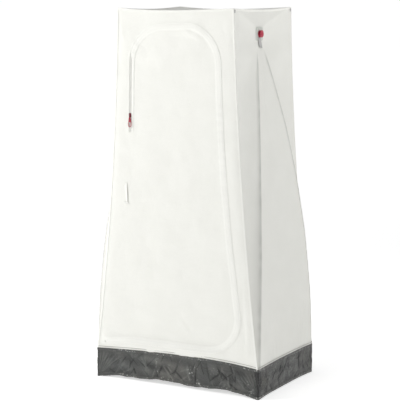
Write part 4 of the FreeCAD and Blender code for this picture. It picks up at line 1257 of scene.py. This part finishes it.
# ---- Trimmings -----------------------------------------------------------------------------
def add_patch(name, sign):
    """The rounded square of heavier cloth under the button, with its turned edge."""
    turn = np.linspace(0, math.tau, 73)[:-1]
    across, up = (np.sign(way) * np.abs(way) ** PATCH_SQUARENESS
                  for way in (np.cos(turn), np.sin(turn)))
    share = np.linspace(1, 0.02, 16)
    y = PATCH_HIGH.y * across[:, None] * share
    z = HUB_Z + (PATCH_HIGH.z - PATCH_LOW.z) / 2 * up[:, None] * share
    out = np.where(share > 0.84, 0.0024, 0.0016) - 0.0006 * (share > 0.99)
    grid = side_point(sign, y, z, out + 0.0003 * undulation(y, z, 0.02, 51))
    patch = cloth(name, grid, paired(y, z), PATCH, 0.0011, flip=sign < 0, closed=True)
    rim = np.c_[y[:, 0] * 0.90, z[:, 0] * 0.90 + HUB_Z * 0.10]
    rim = np.vstack([rim, rim[:1]])
    path = on_panel(partial(side_point, sign), rim, 0.0027)
    return patch, stitches(f"{name}_stitches", [path], THREAD)


def add_tail(name, sign):
    """The webbing's free end under the button, a little curled and cut at a slant."""
    slant = 0.009
    across = np.linspace(0, 1, 14)[:, None]
    y = TAIL_LOW.y + (TAIL_HIGH.y - TAIL_LOW.y) * across
    low = TAIL_LOW.z + slant * (1 - across)
    share = np.linspace(0, 1, 24)
    z = low + (TAIL_HIGH.z - low) * share
    curl = 0.0026 * (1 - share) ** 2 + 0.0008 * (2 * across - 1) ** 2
    grid = side_point(sign, y, z, 0.0030 + curl)
    return cloth(name, grid, paired(y, z), WEBBING, 0.0012, flip=sign < 0)


def tube_grid(path, radii):
    """Rings of points round a path, one column for each of its points."""
    ahead = np.gradient(path, axis=0)
    ahead /= np.linalg.norm(ahead, axis=1)[:, None]
    helper = np.cross(ahead, (0.0, 0.0, 1.0) if abs(ahead[0][2]) < 0.8 else (0.0, 1.0, 0.0))
    side = helper / np.linalg.norm(helper, axis=1)[:, None]
    up = np.cross(side, ahead)
    turn = np.linspace(0, math.tau, TUBE_SIDES + 1)[:-1, None, None]
    return path + np.asarray(radii)[:, None] * (np.cos(turn) * side + np.sin(turn) * up)


def tubes(name, paths, finish, thickness):
    """Several sleeves of cloth as one piece, each from a path and its radii."""
    parts = []
    for path, radii in paths:
        grid = tube_grid(path, radii)
        rows, columns = grid.shape[:2]
        places = paired(np.linspace(0, 0.06, rows)[:, None], np.linspace(0, 0.03, columns))
        parts.append(sheet_part(grid, places, thickness, closed=True))
    return joined(name, parts, finish)


def mirrored(path):
    """A path in the back right corner, and its copies in the other three, from the front left."""
    return [path * (sx, sy, 1) for sx in (-1, 1) for sy in (-1, 1)]


def add_roof_pockets():
    """Sleeves inside the roof's corners that hold the arms' tips."""
    path = np.linspace((0.3274, 0.2900, 1.9752), (0.3298, 0.3140, 1.9838), 8)
    radii = 0.0085 + 0.0003 * np.cos(np.linspace(0, math.tau, 8))
    paths = [(copy, radii) for copy in mirrored(path)]
    return tubes("roof_corner_pocket_cloth", paths, CABIN, 0.0009)


def add_foot_pockets():
    """Webbing cups in the floor's corners that the legs stand in."""
    heights = np.array((0.0020, 0.0024, 0.010, 0.020, 0.030, 0.038, 0.0415))
    radii = (0.0110, 0.0125, 0.0128, 0.0127, 0.0130, 0.0136, 0.0133)
    inset = 0.003
    path = np.stack([(LEG_FOOT[0] - inset, LEG_FOOT[1] - inset, z) for z in heights])
    paths = [(copy, radii) for copy in mirrored(path)]
    return tubes("floor_corner_pocket_webbing", paths, WEBBING, 0.0012)


def add_pole_ties():
    """Short webbing sleeves that hold the legs to the side walls' creases."""
    low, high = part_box("pole_ties")
    leg = arc_points(LEG_FOOT, LEG_MIDDLE, LEG_TOP, 400)
    half, steps, radius = 0.011, 6, 0.0062
    centres = np.linspace(low.z + 0.012, high.z - 0.012, 3)
    copies = [mirrored(rows_at(np.linspace(centre - half, centre + half, steps), leg[:, 2], leg))
              for centre in centres]
    paths = [(copy, np.full(steps, radius)) for corner in zip(*copies) for copy in corner]
    return tubes("pole_tie_webbing", paths, WEBBING, 0.0008)


def add_corner_loops():
    """A small folded loop of webbing outside each top corner."""
    low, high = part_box("corner_loops")
    middle, half = (low.z + high.z) / 2, (high.z - low.z) / 2
    turn = np.linspace(-0.5, 0.5, 15)[:, None] * math.pi
    reach = high.x - TOP_HALF - 0.0004
    x = TOP_HALF + 0.0002 + reach * np.cos(turn)
    z = middle - 0.004 + (half - 0.001) * np.sin(turn)
    y = np.linspace(DEPTH_HALF - 0.014, high.y, 5)
    loop = np.stack(np.broadcast_arrays(x, y, z), axis=-1)
    parts = [sheet_part(grid, grid[..., 1:], 0.0011, flip=grid[0, 0, 0] * grid[0, 0, 1] > 0)
             for grid in mirrored(loop)]
    return joined("corner_loop_webbing", parts, WEBBING)


def add_hinge_binding():
    """A narrow tape behind the cloth along the line where the door folds."""
    z = np.linspace(0.214, 1.336, 150)
    line = np.c_[hinge_x(z), z]
    strip = ribbon(line, HINGE_ACROSS, -BINDING_HALF, BINDING_HALF, front_point, -0.0023)
    return strips("hinge_binding_cloth", [(strip, False)], HEM, 0.0007)


def add_strap():
    """The door tie: a folded strip, sewn on at its top, that hangs with one edge lifted."""
    z = np.linspace(STRAP_LOW.z, STRAP_HIGH.z, 40)
    across = np.linspace(0, 1, 12)[:, None]
    width = STRAP_HIGH.x - STRAP_LOW.x
    x = STRAP_LOW.x + width * across
    sewn = smooth(0.0, 0.03, STRAP_HIGH.z - z)
    held = smooth(0.0, 0.03, z - STRAP_LOW.z)
    lift = 0.0016 + sewn * held * 0.0034 * across**2
    swing = 0.0015 * np.sin((z - STRAP_LOW.z) * 45) * sewn
    strap = cloth("door_tie_cloth", front_point(x + swing, z, lift), paired(x, z), HEM, 0.0010)
    box = np.c_[STRAP_LOW.x + width * np.array((0.15, 0.85, 0.85, 0.15, 0.15)),
                STRAP_HIGH.z - np.array((0.003, 0.003, 0.012, 0.012, 0.003))]
    path = rows_at(np.linspace(0, 4, 60), np.arange(5), box)
    thread = stitches("door_tie_stitches", [on_panel(front_point, path, 0.0020)], THREAD)
    return strap, thread


# ---- The stage -----------------------------------------------------------------------------
def add_floor_stage():
    """A wide, level, near-white floor that glows a little more far from the tent."""
    finish, tree, shader = new_finish("studio_floor", 0.9, specular=0.05)
    place = node(tree, "ShaderNodeTexCoord").outputs["Object"]
    shade = mottled(tree, place, (0.93, 0.93, 0.93), (0.95, 0.95, 0.95), 0.7)
    tree.links.new(shade, shader.inputs["Base Color"])
    shader.inputs["Emission Color"].default_value = (1, 1, 1, 1)
    distance = node(tree, "ShaderNodeVectorMath", {0: place}, operation="LENGTH").outputs["Value"]
    glow = ramp(tree, distance, *FLOOR_GLOW_AT, *FLOOR_GLOW)
    tree.links.new(glow, shader.inputs["Emission Strength"])
    turn = np.linspace(0, math.tau, 129)[:-1]
    rim = np.c_[FLOOR_RADIUS * np.cos(turn), FLOOR_RADIUS * np.sin(turn), np.zeros_like(turn)]
    floor = add_piece("studio_floor", rim, [list(range(len(turn)))], finish, rim[:, :2])


def add_sky():
    """An even sky that is white at the horizon."""
    world = bpy.data.worlds.new("studio")
    world.use_nodes = True
    tree = world.node_tree
    sky = tree.nodes["Background"]
    direction = node(tree, "ShaderNodeTexCoord").outputs["Generated"]
    rise = node(tree, "ShaderNodeSeparateXYZ", {"Vector": direction}).outputs["Z"]
    sky.inputs["Color"].default_value = (1.0, 1.0, 1.0, 1)
    strength = ramp(tree, rise, *SKY_DARKENS, *SKY_STRENGTH)
    tree.links.new(strength, sky.inputs["Strength"])
    bpy.context.scene.world = world


def direction_to(azimuth, elevation):
    """The unit vector from the tent towards an azimuth and elevation in degrees."""
    turn, rise = math.radians(azimuth), math.radians(elevation)
    return Vector((math.sin(turn) * math.cos(rise), -math.cos(turn) * math.cos(rise),
                   math.sin(rise)))


def face_back(name, data, place, away):
    """A lamp or camera at a place, looking against a direction."""
    made = bpy.data.objects.new(name, data)
    made.location = place
    made.rotation_euler = away.to_track_quat("Z", "Y").to_euler()
    bpy.context.collection.objects.link(made)
    return made


def add_lamp(name, azimuth, elevation, distance, size, watts):
    data = bpy.data.lights.new(name, "AREA")
    data.shape, data.size, data.energy = "DISK", size, watts
    away = direction_to(azimuth, elevation)
    face_back(name, data, Vector((0, 0, HEIGHT / 2)) + away * distance, away)


def add_camera():
    data = bpy.data.cameras.new("photo_camera")
    data.lens = SENSOR * FOCAL_SHARE
    away = direction_to(CAMERA_AZIMUTH, CAMERA_PITCH)
    bpy.context.scene.camera = face_back("photo_camera", data, CAMERA_PLACE, away)


def add_stage():
    bpy.context.scene.view_settings.view_transform = "Standard"
    add_sky()
    add_floor_stage()
    for lamp in LAMPS:
        add_lamp(*lamp)
    add_camera()


# ---- Put together --------------------------------------------------------------------------
def ride_tent(piece):
    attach(piece, "tent")


def across_hinge(piece):
    """A door piece, with its transform baked into its mesh."""
    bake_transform(piece)


def placed(piece, slot, *nodes, moves=ride_tent):
    """A piece's body, and the CAD nodes that it stands for; slot is not used."""
    if nodes:
        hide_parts(*nodes)
    moves(piece)


def place_front(front, zip_parts, binding, strap, strap_thread):
    for panel in PANELS:
        placed(front[panel][0], "cabin_fabric", "front_wall")
    placed(front["door"][0], "cabin_fabric", "door_panel", moves=across_hinge)
    for word, moves in (("doorway", ride_tent), ("door", across_hinge)):
        tape, teeth, hem, thread = zip_parts[word]
        placed(tape, "zip_tape", f"zip_tape_{word}", moves=moves)
        placed(teeth, "zip_coil", f"zip_coil_{word}", moves=moves)
        placed(hem, "cabin_fabric", moves=moves)
        placed(thread, "cabin_fabric", moves=moves)
    placed(binding, "cabin_fabric", "hinge_binding", moves=across_hinge)
    placed(strap, "cabin_fabric", "door_tie_strap", moves=across_hinge)
    placed(strap_thread, "cabin_fabric", moves=across_hinge)


def add_side_trims(side, sign):
    """The patch and the webbing tail under one button."""
    patch, patch_thread = add_patch(f"patch_{side}_cloth", sign)
    tail = add_tail(f"webbing_tail_{side}_strip", sign)
    placed(patch, "patch_fabric", f"patch_{side}")
    placed(patch_thread, "patch_fabric")
    placed(tail, "webbing", f"webbing_tail_{side}")


def build():
    finish_kept_nodes()
    front = add_front()
    zip_parts = add_zip()
    seams, seam_thread = add_seams()
    sides = {side: add_side(f"{side}_cloth", sign) for side, sign in SIGNS.items()}
    back = add_back()
    roof = add_roof()
    tub, top_hem, low_hem, tub_thread, foot_thread, foot_welt = add_tub()
    floor = add_floor()
    strap, strap_thread = add_strap()
    binding = add_hinge_binding()

    place_front(front, zip_parts, binding, strap, strap_thread)
    for trim in (seams, seam_thread, foot_thread, foot_welt):
        placed(trim, "cabin_fabric")
    for side in SIDES:
        placed(sides[side], "cabin_fabric", f"{side}_wall")
    placed(back, "cabin_fabric", "back_wall")
    placed(roof, "cabin_fabric", "roof_panel")
    placed(tub, "tub_fabric", "tub_wall_front", "tub_wall_back", "tub_wall_left", "tub_wall_right")
    for trim in (top_hem, low_hem, tub_thread):
        placed(trim, "tub_fabric")
    placed(floor, "tub_fabric", "floor_sheet")
    pockets, cups = add_roof_pockets(), add_foot_pockets()
    loops, ties = add_corner_loops(), add_pole_ties()
    placed(pockets, "cabin_fabric", "roof_corner_pockets")
    placed(cups, "webbing", "floor_corner_pockets")
    placed(loops, "webbing", "corner_loops")
    placed(ties, "webbing", "pole_ties")
    for side, sign in SIGNS.items():
        add_side_trims(side, sign)

    add_stage()


build()
